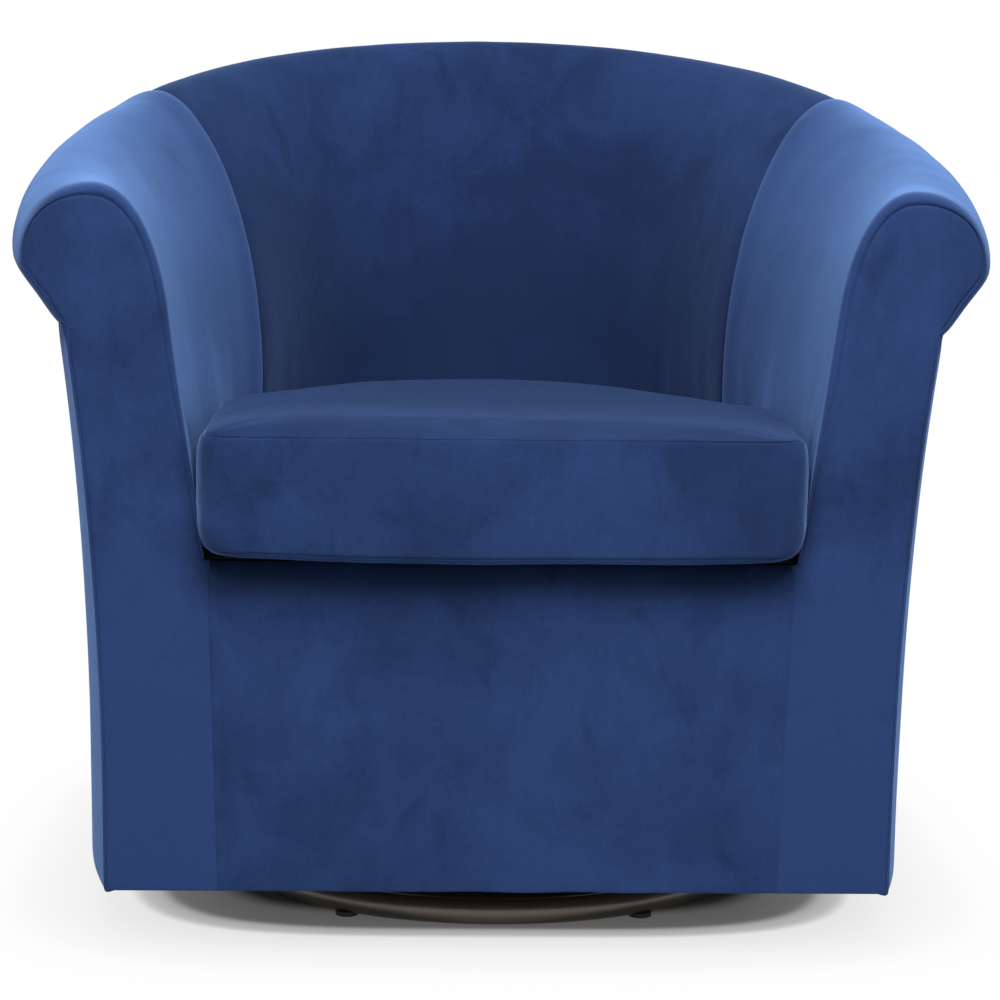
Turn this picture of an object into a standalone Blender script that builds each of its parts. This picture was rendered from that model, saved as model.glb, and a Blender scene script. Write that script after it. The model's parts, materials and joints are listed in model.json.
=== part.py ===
"""Swivel club chair: a round tub with rolled arms, a loose seat cushion and a ring base.

The chair faces -Y, +Z is up, and the origin is on the floor under the swivel axis.
The wall of the tub is a section swept along a plan line, from one arm front round the
back to the other arm front. Every layer of the wall is the same section, drawn further in.
All sizes are in metres.
"""

import math

import bmesh
import bpy
import numpy as np

# Clearances between touching pieces
GAP = 0.0003
SEAM_GAP = 0.0005

# Plan of the tub: foot line of the outside cover
FRONT_Y = -0.3784
TUB_HALF_WIDTH = 0.3834
FRONT_TOE_IN = 0.0363
WIDEST_DEPTH = 0.250
REAR_LENGTH = 0.4471
PLAN_POWER = 2.05

# Heights of the body
SKIRT_BOTTOM = 0.0628
FOOT_BOARD_Z = 0.0663
FOOT_BOARD_THICK = 0.018
SEAT_RAIL_TOP = 0.328
SEAT_RAIL_HEIGHT = 0.060
DECK_PAD_Z = 0.3435
DECK_PAD_THICK = 0.0142
DECK_CLOTH_THICK = 0.002

# Roll along the top of the wall: front of the arm, widest place, middle of the back
ROLL_RADIUS_FRONT = 0.0655
ROLL_RADIUS_BACK = 0.0545
ROLL_HEIGHT_FRONT = 0.618
ROLL_HEIGHT_BACK = 0.7777
ROLL_RISE_POWER = 1.785
ROLL_OUT_FRONT = 0.0030
ROLL_OUT_WIDEST = 0.0005
ROLL_OUT_BACK = 0.0274
NOTCH_ANGLE = math.radians(-66)
FLARE_POWER = 2.42

# Inner face of the wall
INNER_LEAN_FRONT = 0.127
INNER_LEAN_SEAM = -0.200
INNER_LEAN_BACK = 0.335
SHOULDER_WIDTH_FRONT = 0.0655
SHOULDER_HEIGHT_FRONT = 0.110
SHOULDER_WIDTH_BACK = 0.110
SHOULDER_HEIGHT_BACK = 0.402

# Layers of the wall
COVER_THICK = 0.002
FOAM_THICK = 0.018
WEB_THICK = 0.0016
LIP_DEPTH = 0.004
LIP_ROUND = 0.0015
LIP_ROUND_IN = 0.003
LIP_WIDTH_FOOT = 0.0023
LIP_WIDTH_ROLL = 0.0115
LIP_WIDTH_POWER = 0.6

# Places along the wall, measured back from the arm front
INSIDE_SEAM = 0.474
OUTSIDE_SEAM = 0.630
RIB_PLACES = (0.225, 0.680)
RIB_THICK = 0.018
WEB_WIDTH = 0.050
WEB_PLACE = 0.740
SEAT_RAIL_JOINT = 0.560
STATION_STEP = 0.064

# Points along the section of the wall
CIRCLE_HANDLE = 0.5523
SHOULDER_POINTS = 5
ROLL_POINTS = 6
OUTER_POINTS = 7
OUTER_SPACING = 0.8
WEB_POINTS = 6
RIB_FACE_POINTS = 4

# Frame
FRONT_BOARD_THICK = 0.018
PANEL_HALF_FOOT = 0.2484
PANEL_HALF_TOP = 0.2559
SEAT_RAIL_THICK = 0.018
SEAT_RAIL_INSET = 0.004
FOOT_BOARD_WIDTH = 0.090
TOP_RAIL_HALF = 0.018
TOP_RAIL_SHIFT = 0.006
TOP_RAIL_CHAMFER = 0.005
RIB_NECK_GAP = 0.002
RIB_NECK_DROP = 0.004
SLAT_INNER_X = 0.045
SLAT_OUTER_X = 0.125

# Seat springs
SPRING_WIRE = 0.0035
SPRING_PLACES = (-0.165, -0.055, 0.055, 0.165)
SPRING_LOOPS = 8
SPRING_LOOP_WIDTH = 0.044
SPRING_END = 0.030
SPRING_BEND_REACH = 0.38
SPRING_BEND_WIDTH = 0.85
CLIP_THICK = 0.0015
CLIP_WIDTH = 0.012
CLIP_BAR_HALF = 0.215

# Seat cushion
CUSHION_OVERHANG = 0.021
CUSHION_HALF_WIDTH = 0.2598
CUSHION_CORNER = 0.022
CUSHION_BORDER = 0.1076
CUSHION_CROWN = 0.017
CUSHION_EDGE = 0.004
CUSHION_SIDE_GAP = 0.0012
CUSHION_TAPER = 0.1
CUSHION_MIDDLE = 0.25
CUSHION_UNDERSIDE = ((0.0, 0.80), (0.3, 0.93))
CUSHION_SIDES = ((0.0, 0.985), (0.15, 1.0), (0.5, 1.0), (0.85, 1.0), (1.0, 0.985))
CUSHION_TOP = ((0.38, 0.94), (0.72, 0.82), (0.92, 0.60), (1.0, 0.30))
CUSHION_COVER_THICK = 0.0022
ZIP_LENGTH = 0.200
ZIP_HEIGHT = 0.006
ZIP_IN = 0.030
ZIP_OUT = 0.050

# Swivel base
RING_RADIUS = 0.288
RING_TUBE = 0.024
RING_SEGMENTS = 48
RING_SIDES = 10
GLIDE_RADIUS = 0.011
GLIDE_HEIGHT = 0.004
GLIDE_ANGLES = (-150, -90, -30, 30, 90, 150)
CROSS_WIDTH = 0.030
CROSS_HEIGHT = 0.016
LOWER_PLATE_HALF = 0.090
UPPER_PLATE_HALF = 0.100
PLATE_THICK = 0.0025
PLATE_CORNER = 0.014
RACE_RADIUS = 0.070
RACE_HALF_WIDTH = 0.010
BALL_RADIUS = 0.004
BALL_COUNT = 10
GROOVE_DEPTH = 0.0022
GROOVE_EASE = 1.05
RACE_SEGMENTS = 32
CAGE_HALF_WIDTH = 0.006
CAGE_THICK = 0.0016
PIN_RADIUS = 0.005
PIN_HEAD_RADIUS = 0.009
PIN_HEAD_HEIGHT = 0.006
NUT_HEIGHT = 0.008
PIN_OVER_NUT = 0.003
PIN_SIDES = 20
PLATE_BOLT_PLACE = 0.085
PLATE_BOLT_RADIUS = 0.004
PLATE_BOLT_HEAD_RADIUS = 0.0075
PLATE_BOLT_HEAD_HEIGHT = 0.005
BOLT_SIDES = 16
HOLE_EASE = 0.0006
CUT_REACH = 0.010

# Heights that follow from the sizes above
FOOT_BOARD_TOP = FOOT_BOARD_Z + FOOT_BOARD_THICK
DECK_PAD_TOP = DECK_PAD_Z + DECK_PAD_THICK
DECK_Z = DECK_PAD_TOP + GAP
DECK_TOP = DECK_Z + DECK_CLOTH_THICK
WALL_FOOT_Z = DECK_TOP + SEAM_GAP
RING_Z = GLIDE_HEIGHT + GAP + RING_TUBE / 2
CROSS_Z = RING_Z - CROSS_HEIGHT / 2
CROSS_TOP = RING_Z + CROSS_HEIGHT / 2
LOWER_PLATE_Z = CROSS_TOP + GAP
UPPER_PLATE_TOP = FOOT_BOARD_Z - GAP
UPPER_PLATE_Z = UPPER_PLATE_TOP - PLATE_THICK
BALL_Z = (LOWER_PLATE_Z + UPPER_PLATE_TOP) / 2
DUST_TOP = FOOT_BOARD_Z - GAP
DUST_THICK = 0.0008
DUST_OPENING_HALF = UPPER_PLATE_HALF + 0.010

# Depths of the wall layers, drawn in from the visible surface
FOAM_IN = COVER_THICK + GAP
FRAME_IN = FOAM_IN + FOAM_THICK + GAP


def clear_scene():
    """Remove every object, so that the model stands alone."""
    for old in list(bpy.data.objects):
        bpy.data.objects.remove(old)


def make_material(name, colour, roughness, metallic=0.0):
    """A plain Principled material."""
    material = bpy.data.materials.new(name)
    material.use_nodes = True
    shader = material.node_tree.nodes["Principled BSDF"]
    shader.inputs["Base Color"].default_value = (*colour, 1.0)
    shader.inputs["Roughness"].default_value = roughness
    shader.inputs["Metallic"].default_value = metallic
    material.diffuse_color = (*colour, 1.0)
    return material


def make_object(name, bm, material, smooth=False):
    """Turn a bmesh into a named object with its material."""
    bmesh.ops.recalc_face_normals(bm, faces=bm.faces)
    mesh = bpy.data.meshes.new(name)
    bm.to_mesh(mesh)
    bm.free()
    mesh.materials.append(material)
    if smooth:
        mesh.shade_smooth()
        mesh.set_sharp_from_angle(angle=math.radians(35))
    piece = bpy.data.objects.new(name, mesh)
    bpy.context.scene.collection.objects.link(piece)
    return piece


def make_axis(name, place):
    """An empty that stands on a joint's axis and carries the pieces that move there."""
    axis = bpy.data.objects.new(name, None)
    axis.empty_display_size = 0.1
    axis.location = place
    bpy.context.scene.collection.objects.link(axis)
    return axis


def carry(piece, axis):
    """Parent a piece to an axis and keep it where it was modelled."""
    piece.parent = axis
    piece.location = (-axis.location[0], -axis.location[1], -axis.location[2])


def add_ring(bm, points):
    """A closed loop of edges through the points."""
    verts = [bm.verts.new(point) for point in points]
    for pair in zip(verts, verts[1:] + verts[:1]):
        bm.edges.new(pair)
    return verts


def split_quad(first, second):
    """Split the face that holds two opposite corners along the line between them."""
    shared = [face for face in first.link_faces if second in face.verts]
    bmesh.utils.face_split(shared[0], first, second)


def loft(rings, turn=None):
    """A closed body through rings of equal count, with a flat cap at each end.

    The outlines of a layer run along its near face and back along its far face. The quads
    of both faces are split along the same diagonal, so that touching layers stay parallel.
    Past the ring called turn the wall is followed the other way, and so is the diagonal.
    """
    bm = bmesh.new()
    rows = [add_ring(bm, rings[0])]
    edges = first_edges = list(bm.edges)
    for ring in rings[1:]:
        made = bmesh.ops.extrude_edge_only(bm, edges=edges)["geom"]
        fresh = {item for item in made if isinstance(item, bmesh.types.BMVert)}
        row = []
        for vert, point in zip(rows[-1], ring):
            neighbours = (edge.other_vert(vert) for edge in vert.link_edges)
            follower = next(other for other in neighbours if other in fresh)
            follower.co = point
            row.append(follower)
        edges = [item for item in made if isinstance(item, bmesh.types.BMEdge) and set(item.verts) <= fresh]
        rows.append(row)
    count = len(rings[0])
    for index, (low, high) in enumerate(zip(rows, rows[1:])):
        for here in range(count):
            after = (here + 1) % count
            far_side = here >= count // 2
            returning = turn is not None and index >= turn
            if far_side == returning:
                split_quad(low[here], high[after])
            else:
                split_quad(low[after], high[here])
    for end in (first_edges, edges):
        bmesh.ops.contextual_create(bm, geom=end)
    return bm


def plate(outline, bottom, top):
    """A flat plate: a plan outline between two heights."""
    return loft([[(x, y, z) for x, y in outline] for z in (bottom, top)])


def front_plate(outline, front, back):
    """A flat upright plate: an outline in X and Z between two depths."""
    return loft([[(x, y, z) for x, z in outline] for y in (front, back)])


def subtract(piece, cutter_name, bm):
    """Cut a hidden shape out of a piece."""
    cutter = make_object(cutter_name, bm, piece.data.materials[0])
    cutter.parent = piece.parent
    cutter.location = piece.location
    cutter.hide_render = True
    cutter.display_type = "WIRE"
    boolean = piece.modifiers.new(cutter_name, "BOOLEAN")
    boolean.operation = "DIFFERENCE"
    boolean.object = cutter


def unite(piece, cutter_name, bm):
    """Weld a hidden shape to a piece."""
    subtract(piece, cutter_name, bm)
    piece.modifiers[cutter_name].operation = "UNION"


def cylinder(radius, bottom, top, place=(0, 0), segments=24, bm=None):
    """An upright cylinder, added to a bmesh."""
    bm = bm or bmesh.new()
    made = bmesh.ops.create_cone(bm, cap_ends=True, segments=segments, radius1=radius, radius2=radius,
                                 depth=top - bottom)
    bmesh.ops.translate(bm, verts=made["verts"], vec=(place[0], place[1], (top + bottom) / 2))
    return bm


def turned(profile, segments):
    """A ring turned about the Z axis from a closed profile of (radius, height)."""
    bm = bmesh.new()
    add_ring(bm, [(r, 0, z) for r, z in profile])
    bmesh.ops.spin(bm, geom=list(bm.verts) + list(bm.edges), cent=(0, 0, 0), axis=(0, 0, 1), angle=math.tau,
                   steps=segments, use_merge=True)
    bmesh.ops.remove_doubles(bm, verts=bm.verts, dist=0.00001)
    return bm


# Plan line of the wall

def ease(value):
    """Smooth step from 0 to 1."""
    value = min(max(value, 0.0), 1.0)
    return value * value * (3 - 2 * value)


def rear_table(count=400):
    """The rear half-oval as arc length, place and outward direction."""
    angle = np.linspace(0, math.pi / 2, count)
    across = np.cos(angle) ** (2 / PLAN_POWER)
    along = np.sin(angle) ** (2 / PLAN_POWER)
    x = TUB_HALF_WIDTH * across
    y = WIDEST_DEPTH + REAR_LENGTH * along
    out_x = across ** (PLAN_POWER - 1) / TUB_HALF_WIDTH
    out_y = along ** (PLAN_POWER - 1) / REAR_LENGTH
    length = np.hypot(out_x, out_y)
    arc = np.concatenate(([0.0], np.cumsum(np.hypot(np.diff(x), np.diff(y)))))
    return arc, x, y, out_x / length, out_y / length


REAR = rear_table()
WALL_LENGTH = WIDEST_DEPTH + float(REAR[0][-1])


def wall_frame(place):
    """Foot point and outward direction of the right half of the wall."""
    if place <= WIDEST_DEPTH:
        rest = (WIDEST_DEPTH - place) / WIDEST_DEPTH
        return TUB_HALF_WIDTH - FRONT_TOE_IN * rest * rest, FRONT_Y + place, 1.0, 0.0
    arc = place - WIDEST_DEPTH
    x, y, out_x, out_y = (float(np.interp(arc, REAR[0], column)) for column in REAR[1:])
    length = math.hypot(out_x, out_y)
    return x, FRONT_Y + y, out_x / length, out_y / length


def blend(front, back, share):
    """A size between its front and back value."""
    return front + (back - front) * share


def roll_radius(place):
    return blend(ROLL_RADIUS_FRONT, ROLL_RADIUS_BACK, ease(place / WALL_LENGTH))


def roll_out(place):
    """How far the roll's centre lies outside the foot line."""
    if place < WIDEST_DEPTH:
        return blend(ROLL_OUT_FRONT, ROLL_OUT_WIDEST, math.sin(math.pi / 2 * place / WIDEST_DEPTH))
    return blend(ROLL_OUT_WIDEST, ROLL_OUT_BACK, ease((place - WIDEST_DEPTH) / (WALL_LENGTH - WIDEST_DEPTH)))


def roll_height(place):
    rise = math.sin(math.pi / 2 * min(place / WALL_LENGTH, 1.0)) ** ROLL_RISE_POWER
    return blend(ROLL_HEIGHT_FRONT, ROLL_HEIGHT_BACK, rise)


def inner_lean(place):
    """How far the foot of the inner face leans outward for each metre up."""
    if place < INSIDE_SEAM:
        return blend(INNER_LEAN_FRONT, INNER_LEAN_SEAM, ease(place / INSIDE_SEAM))
    return blend(INNER_LEAN_SEAM, INNER_LEAN_BACK, ease((place - INSIDE_SEAM) / (WALL_LENGTH - INSIDE_SEAM)))


def shoulder_size(place):
    """Width and fall of the rounded shoulder between the inner face and the roll's top."""
    reach = ease(place / INSIDE_SEAM)
    return (blend(SHOULDER_WIDTH_FRONT, SHOULDER_WIDTH_BACK, reach),
            blend(SHOULDER_HEIGHT_FRONT, SHOULDER_HEIGHT_BACK, reach))


def shoulder_at(place):
    """Where the straight foot of the inner face meets its rounded shoulder."""
    width, fall = shoulder_size(place)
    return roll_out(place) - width, roll_height(place) + roll_radius(place) - fall


def seat_in(place):
    """How far the inner face at seat height lies inside the foot line."""
    out, height = shoulder_at(place)
    return inner_lean(place) * (height - WALL_FOOT_Z) - out


# Section of the wall, as points (outward, height)

def bezier(start, start_handle, end_handle, end, count):
    """Points of a cubic curve, without its first point."""
    points = []
    for step in range(1, count + 1):
        t = step / count
        s = 1 - t
        weights = (s ** 3, 3 * s * s * t, 3 * s * t * t, t ** 3)
        corners = (start, start_handle, end_handle, end)
        points.append(tuple(sum(w * c[axis] for w, c in zip(weights, corners)) for axis in (0, 1)))
    return points


def inner_chain(place):
    """Inner face from the seat up, over the roll and down to the notch under it."""
    radius, out, height = roll_radius(place), roll_out(place), roll_height(place)
    width, fall = shoulder_size(place)
    foot = (-seat_in(place), WALL_FOOT_Z)
    top = (out, height + radius)
    shoulder = shoulder_at(place)
    lean = inner_lean(place)
    pull = fall * CIRCLE_HANDLE / math.hypot(lean, 1)
    lower_handle = (shoulder[0] + lean * pull, shoulder[1] + pull)
    upper_handle = (top[0] - width * CIRCLE_HANDLE, top[1])
    middle = ((foot[0] + shoulder[0]) / 2, (foot[1] + shoulder[1]) / 2)
    points = [foot, middle, shoulder] + bezier(shoulder, lower_handle, upper_handle, top, SHOULDER_POINTS)
    for step in range(1, ROLL_POINTS + 1):
        angle = blend(math.pi / 2, NOTCH_ANGLE, step / ROLL_POINTS)
        points.append((out + radius * math.cos(angle), height + radius * math.sin(angle)))
    return points


def notch(place):
    """Where the outside cover meets the underside of the roll."""
    radius = roll_radius(place)
    out, height = roll_out(place), roll_height(place)
    return out + radius * math.cos(NOTCH_ANGLE), height + radius * math.sin(NOTCH_ANGLE)


def outer_at(place, height):
    """Outward place of the outside cover at a height below the notch."""
    out, top = notch(place)
    share = max((height - SKIRT_BOTTOM) / (top - SKIRT_BOTTOM), 0.0)
    return out * share ** FLARE_POWER


def outer_chain(place):
    """Outside face from just under the notch down to the skirt's edge."""
    top = notch(place)[1] - SEAM_GAP
    shares = [(step / (OUTER_POINTS - 1)) ** OUTER_SPACING for step in range(OUTER_POINTS)]
    heights = [blend(top, SKIRT_BOTTOM, share) for share in shares]
    return [(outer_at(place, height), height) for height in heights]


def draw_in(chain, depths):
    """Move a chain into the wall, by one depth or by one depth for each point."""
    points = np.array(chain)
    ways = np.gradient(points, axis=0)
    ways /= np.hypot(ways[:, 0], ways[:, 1])[:, None]
    inward = np.stack([ways[:, 1], -ways[:, 0]], axis=1)
    return [tuple(p) for p in points + inward * np.reshape(depths, (-1, 1))]


def layer(chain, near, far):
    """Closed outline of a layer between two depths below a chain."""
    return draw_in(chain, near) + draw_in(chain, far)[::-1]


def face_at(chain, height):
    """Outward place on the rising part of a chain at a height."""
    points = np.array(chain)
    rising = points[:int(np.argmax(points[:, 1])) + 1]
    return float(np.interp(height, rising[:, 1], rising[:, 0]))


def narrowest_above(chain, height):
    """Innermost place of the rising part of a chain from a height up, which what lifts out has to clear."""
    points = np.array(chain)
    rising = points[:int(np.argmax(points[:, 1])) + 1]
    return min(face_at(chain, height), float(rising[rising[:, 1] >= height, 0].min()))


def to_world(place, side, outline):
    """Points of a section outline in space, on the right (1) or left (-1) side."""
    x, y, out_x, out_y = wall_frame(place)
    return [(side * (x + out_x * out), y + out_y * out, height) for out, height in outline]


def station_list():
    """Places where every wall layer has a section, so that layers stay parallel."""
    lip_end = LIP_DEPTH + GAP
    board_back = FOAM_IN + FRONT_BOARD_THICK
    fixed = {0.0, LIP_ROUND, COVER_THICK, LIP_DEPTH, lip_end, lip_end + GAP, FOAM_IN, board_back,
             board_back + GAP, WIDEST_DEPTH, WALL_LENGTH - WEB_WIDTH / 2, WALL_LENGTH}
    for joint in (INSIDE_SEAM, OUTSIDE_SEAM, SEAT_RAIL_JOINT):
        fixed |= {joint - GAP / 2, joint + GAP / 2}
    for rib in RIB_PLACES:
        fixed |= {rib, rib + RIB_THICK}
    fixed |= {WEB_PLACE, WEB_PLACE + WEB_WIDTH}
    places = sorted(fixed)
    filled = []
    for first, second in zip(places, places[1:]):
        parts = max(1, math.ceil((second - first) / STATION_STEP))
        filled += [blend(first, second, step / parts) for step in range(parts)]
    return filled + [places[-1]]


STATIONS = station_list()


def between(start, end):
    """Stations from one place to another, without the twin that a joint further along has."""
    found = [place for place in STATIONS if start - 1e-9 <= place <= end + 1e-9]
    kept = found[:1]
    for place, after in zip(found[1:], found[2:] + [math.inf]):
        if place - kept[-1] > 1.5 * GAP or after == math.inf:
            kept.append(place)
    return kept


def arm_piece(outline_at, start, end, side):
    """Sweep a section along one side of the wall."""
    return loft([to_world(place, side, outline_at(place)) for place in between(start, end)])


def back_piece(outline_at, start):
    """Sweep a section round the back, from one side to the same place on the other."""
    places = between(start, WALL_LENGTH)
    rings = [to_world(place, 1, outline_at(place)) for place in places]
    rings += [to_world(place, -1, outline_at(place)) for place in places[-2::-1]]
    return loft(rings, turn=len(places) - 1)


def web_piece(outline_at, side):
    """One upright strap behind the back foam: left, middle or right."""
    if side:
        return arm_piece(outline_at, WEB_PLACE, WEB_PLACE + WEB_WIDTH, side)
    return back_piece(outline_at, WALL_LENGTH - WEB_WIDTH / 2)


# Outlines of the wall pieces

def lip_widths(count):
    """Width of the arm cover's front lip at each point of the inner chain."""
    bumps = [abs(math.sin(math.pi * step / (count - 1))) ** LIP_WIDTH_POWER for step in range(count)]
    return [blend(LIP_WIDTH_FOOT, LIP_WIDTH_ROLL, bump) for bump in bumps]


def arm_cover_outline(place):
    """Inside arm cover, with the lip that turns over the arm front."""
    chain = inner_chain(place)
    if place > LIP_DEPTH + GAP / 2:
        return layer(chain, 0.0, COVER_THICK)
    lips = [width - GAP for width in lip_widths(len(chain))]
    drop = LIP_ROUND_IN * (1 - min(place / LIP_DEPTH, 1.0)) ** 2
    return layer(chain, [min(drop, lip - GAP) for lip in lips], lips)


def inside_cover_outline(place):
    return layer(inner_chain(place), 0.0, COVER_THICK)


def foam_outline(place):
    return layer(inner_chain(place), FOAM_IN, FOAM_IN + FOAM_THICK)


def web_outline(place):
    """Flat strap from the seat to the bend of the shoulder."""
    chain = inner_chain(place)
    near, far = (draw_in(chain, depth)[:WEB_POINTS] for depth in (FRAME_IN, FRAME_IN + WEB_THICK))
    return near + far[::-1]


def outside_cover_outline(place):
    return layer(outer_chain(place), 0.0, COVER_THICK)


def box_outline(near, far, bottom, top):
    return [(near, bottom), (far, bottom), (far, top), (near, top)]


def foot_board_outline(place):
    outer = outer_at(place, FOOT_BOARD_Z) - FOAM_IN
    return box_outline(-FOOT_BOARD_WIDTH, outer, FOOT_BOARD_Z, FOOT_BOARD_TOP)


def seat_rail_inner(place):
    return -seat_in(place) + SEAT_RAIL_INSET


def seat_rail_outline(place):
    near = seat_rail_inner(place)
    return box_outline(near, near + SEAT_RAIL_THICK, SEAT_RAIL_TOP - SEAT_RAIL_HEIGHT, SEAT_RAIL_TOP)


def clip_bar_outline(place):
    near = seat_rail_inner(place) + (SEAT_RAIL_THICK - CLIP_WIDTH) / 2
    return box_outline(near, near + CLIP_WIDTH, SEAT_RAIL_TOP + GAP, SEAT_RAIL_TOP + GAP + CLIP_THICK)


def top_rail_outline(place):
    """Chamfered square bar inside the roll."""
    out, height = roll_out(place), roll_height(place)
    half, cut = TOP_RAIL_HALF, TOP_RAIL_HALF - TOP_RAIL_CHAMFER
    corners = ((-cut, -half), (cut, -half), (half, -cut), (half, cut), (cut, half), (-cut, half),
               (-half, cut), (-half, -cut))
    return [(out + TOP_RAIL_SHIFT + across, height + up) for across, up in corners]


def outside_frame_line(place):
    """Outer edge of an upright board, parallel to the outside cover and cut off over the foot board."""
    low, high = FOOT_BOARD_TOP + GAP, notch(place)[1] - RIB_NECK_DROP
    line = draw_in(outer_chain(place), FOAM_IN)
    heights = [z for _, z in line][::-1]
    across = [out for out, _ in line][::-1]
    ends = [(float(np.interp(z, heights, across)), z) for z in (high, low)]
    return [ends[0]] + [point for point in line if low < point[1] < high] + [ends[1]]


def rib_outline(place):
    """Upright board that fills the wall from the foot board to the top rail."""
    rail_under = roll_height(place) - TOP_RAIL_HALF - GAP
    inner = draw_in(inner_chain(place), FRAME_IN)
    low = seat_rail_inner(place) + SEAT_RAIL_THICK + GAP
    points = [(low, FOOT_BOARD_TOP + GAP), (low, DECK_PAD_Z)]
    points += inner[:RIB_FACE_POINTS] + [(face_at(inner, rail_under), rail_under)]
    neck = inner[-1][0] - RIB_NECK_GAP
    points += [(neck, rail_under), (neck, inner[-1][1])]
    return points + outside_frame_line(place)


def panel_half(height):
    """Half width of the front panel at a height."""
    share = (height - SKIRT_BOTTOM) / (DECK_PAD_TOP - SKIRT_BOTTOM)
    return blend(PANEL_HALF_FOOT, PANEL_HALF_TOP, share)


def front_board_outline(place):
    """Scroll-shaped board behind an arm front."""
    x = wall_frame(place)[0]
    inner = draw_in(inner_chain(place), FRAME_IN)
    outside = outside_frame_line(place)
    step_z = DECK_PAD_Z - GAP
    foot = [(panel_half(height) + GAP - x, height) for height in (FOOT_BOARD_TOP + GAP, step_z)]
    return foot + [(inner[0][0], step_z)] + inner + outside


def facing_outline(place):
    """Flat cloth panel on an arm front, inside the lip of the arm cover."""
    x = wall_frame(place)[0]
    chain = inner_chain(place)
    inner = draw_in(chain, lip_widths(len(chain)))
    outside = draw_in(outer_chain(place), FOAM_IN)
    step_z = DECK_PAD_TOP - GAP
    foot = [(panel_half(height) + GAP / 2 - x, height) for height in (SKIRT_BOTTOM, step_z)]
    return foot + [(inner[0][0], step_z)] + inner + outside


def tub_outline(offset_at, front):
    """Plan outline inside the wall: a line at a given offset, closed across the front."""
    places = [place for place in STATIONS if place >= front - 1e-9]
    right = [to_world(place, 1, [(offset_at(place), 0.0)])[0][:2] for place in places]
    left = [(-x, y) for x, y in right[-2::-1]]
    return right + left


# Pieces of the frame

def build_frame(seat, wood, plywood):
    """Foot board, slats, seat rails, ribs, arm front boards and top rails."""
    behind_board = FOAM_IN + FRONT_BOARD_THICK + GAP
    carry(make_object("foot_board", back_piece(foot_board_outline, FOAM_IN), plywood), seat)
    sides = (("right", 1), ("left", -1))
    for word, side in sides:
        pieces = {
            "arm_front_board": (front_board_outline, FOAM_IN, FOAM_IN + FRONT_BOARD_THICK, plywood),
            "seat_rail": (seat_rail_outline, behind_board, SEAT_RAIL_JOINT - GAP / 2, wood),
            "arm_rib": (rib_outline, RIB_PLACES[0], RIB_PLACES[0] + RIB_THICK, plywood),
            "back_rib": (rib_outline, RIB_PLACES[1], RIB_PLACES[1] + RIB_THICK, plywood),
            "arm_top_rail": (top_rail_outline, behind_board, INSIDE_SEAM - GAP / 2, wood),
        }
        for name, (outline_at, start, end, material) in pieces.items():
            carry(make_object(f"{name}_{word}", arm_piece(outline_at, start, end, side), material), seat)
    carry(make_object("seat_rail_back", back_piece(seat_rail_outline, SEAT_RAIL_JOINT + GAP / 2), wood), seat)
    carry(make_object("back_top_rail", back_piece(top_rail_outline, INSIDE_SEAM + GAP / 2), plywood), seat)
    build_front_rail(seat, plywood)
    for word, side in sides:
        build_slat(word, side, seat, wood)


def build_front_rail(seat, plywood):
    """Upright board across the front, behind the front panel."""
    low, high = FOOT_BOARD_Z, SEAT_RAIL_TOP
    corners = [(-1, low), (1, low), (1, high), (-1, high)]
    outline = [(sign * panel_half(z), z) for sign, z in corners]
    y = FRONT_Y + FOAM_IN
    carry(make_object("front_rail", front_plate(outline, y, y + FRONT_BOARD_THICK), plywood), seat)


def depth_behind(offset_at, x):
    """Depth of a line along the back of the tub at a distance from the chair's middle."""
    places = between(SEAT_RAIL_JOINT, WALL_LENGTH)
    points = [to_world(place, 1, [(offset_at(place), 0.0)])[0] for place in places][::-1]
    return float(np.interp(abs(x), [point[0] for point in points], [point[1] for point in points]))


def foot_board_inner(place):
    return -FOOT_BOARD_WIDTH


def build_slat(word, side, seat, wood):
    """Board from front to back that carries one side of the swivel."""
    front = FRONT_Y + FOAM_IN + FRONT_BOARD_THICK + GAP
    corners = [(SLAT_INNER_X, front), (SLAT_OUTER_X, front),
               (SLAT_OUTER_X, depth_behind(foot_board_inner, SLAT_OUTER_X) - GAP),
               (SLAT_INNER_X, depth_behind(foot_board_inner, SLAT_INNER_X) - GAP)]
    outline = [(side * x, y) for x, y in corners]
    slat = make_object(f"swivel_slat_{word}", plate(outline, FOOT_BOARD_Z, FOOT_BOARD_TOP), wood)
    carry(slat, seat)
    holes = bmesh.new()
    for y in (-PLATE_BOLT_PLACE, PLATE_BOLT_PLACE):
        cylinder(PLATE_BOLT_RADIUS + HOLE_EASE, FOOT_BOARD_Z - CUT_REACH, FOOT_BOARD_TOP + CUT_REACH,
                 (side * PLATE_BOLT_PLACE, y), BOLT_SIDES, holes)
    subtract(slat, f"slat_holes_{word}", holes)


# Seat suspension

def clip_bar_middle(place):
    return seat_rail_inner(place) + SEAT_RAIL_THICK / 2


def spring_points(x):
    """Centre line of a sinuous spring from the front clip bar to the back one, arched upwards."""
    start = FRONT_Y + FOAM_IN + FRONT_BOARD_THICK / 2
    end = depth_behind(clip_bar_middle, x)
    low = SEAT_RAIL_TOP + 2 * GAP + CLIP_THICK + SPRING_WIRE / 2
    rise = DECK_PAD_Z - GAP - SPRING_WIRE / 2 - low
    half = SPRING_LOOP_WIDTH / 2
    flat = [(x, start)]
    pitch = (end - start - 2 * SPRING_END) / SPRING_LOOPS
    for loop in range(SPRING_LOOPS):
        turn = 1 if loop % 2 == 0 else -1
        middle = start + SPRING_END + (loop + 0.5) * pitch
        bend, reach = x + turn * half * SPRING_BEND_WIDTH, pitch * SPRING_BEND_REACH
        flat += [(bend, middle - reach), (x + turn * half, middle), (bend, middle + reach)]
    flat.append((x, end))
    points = []
    for px, py in flat:
        share = (py - start) / (end - start)
        points.append((px, py, low + rise * math.sin(math.pi * share)))
    return points


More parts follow.
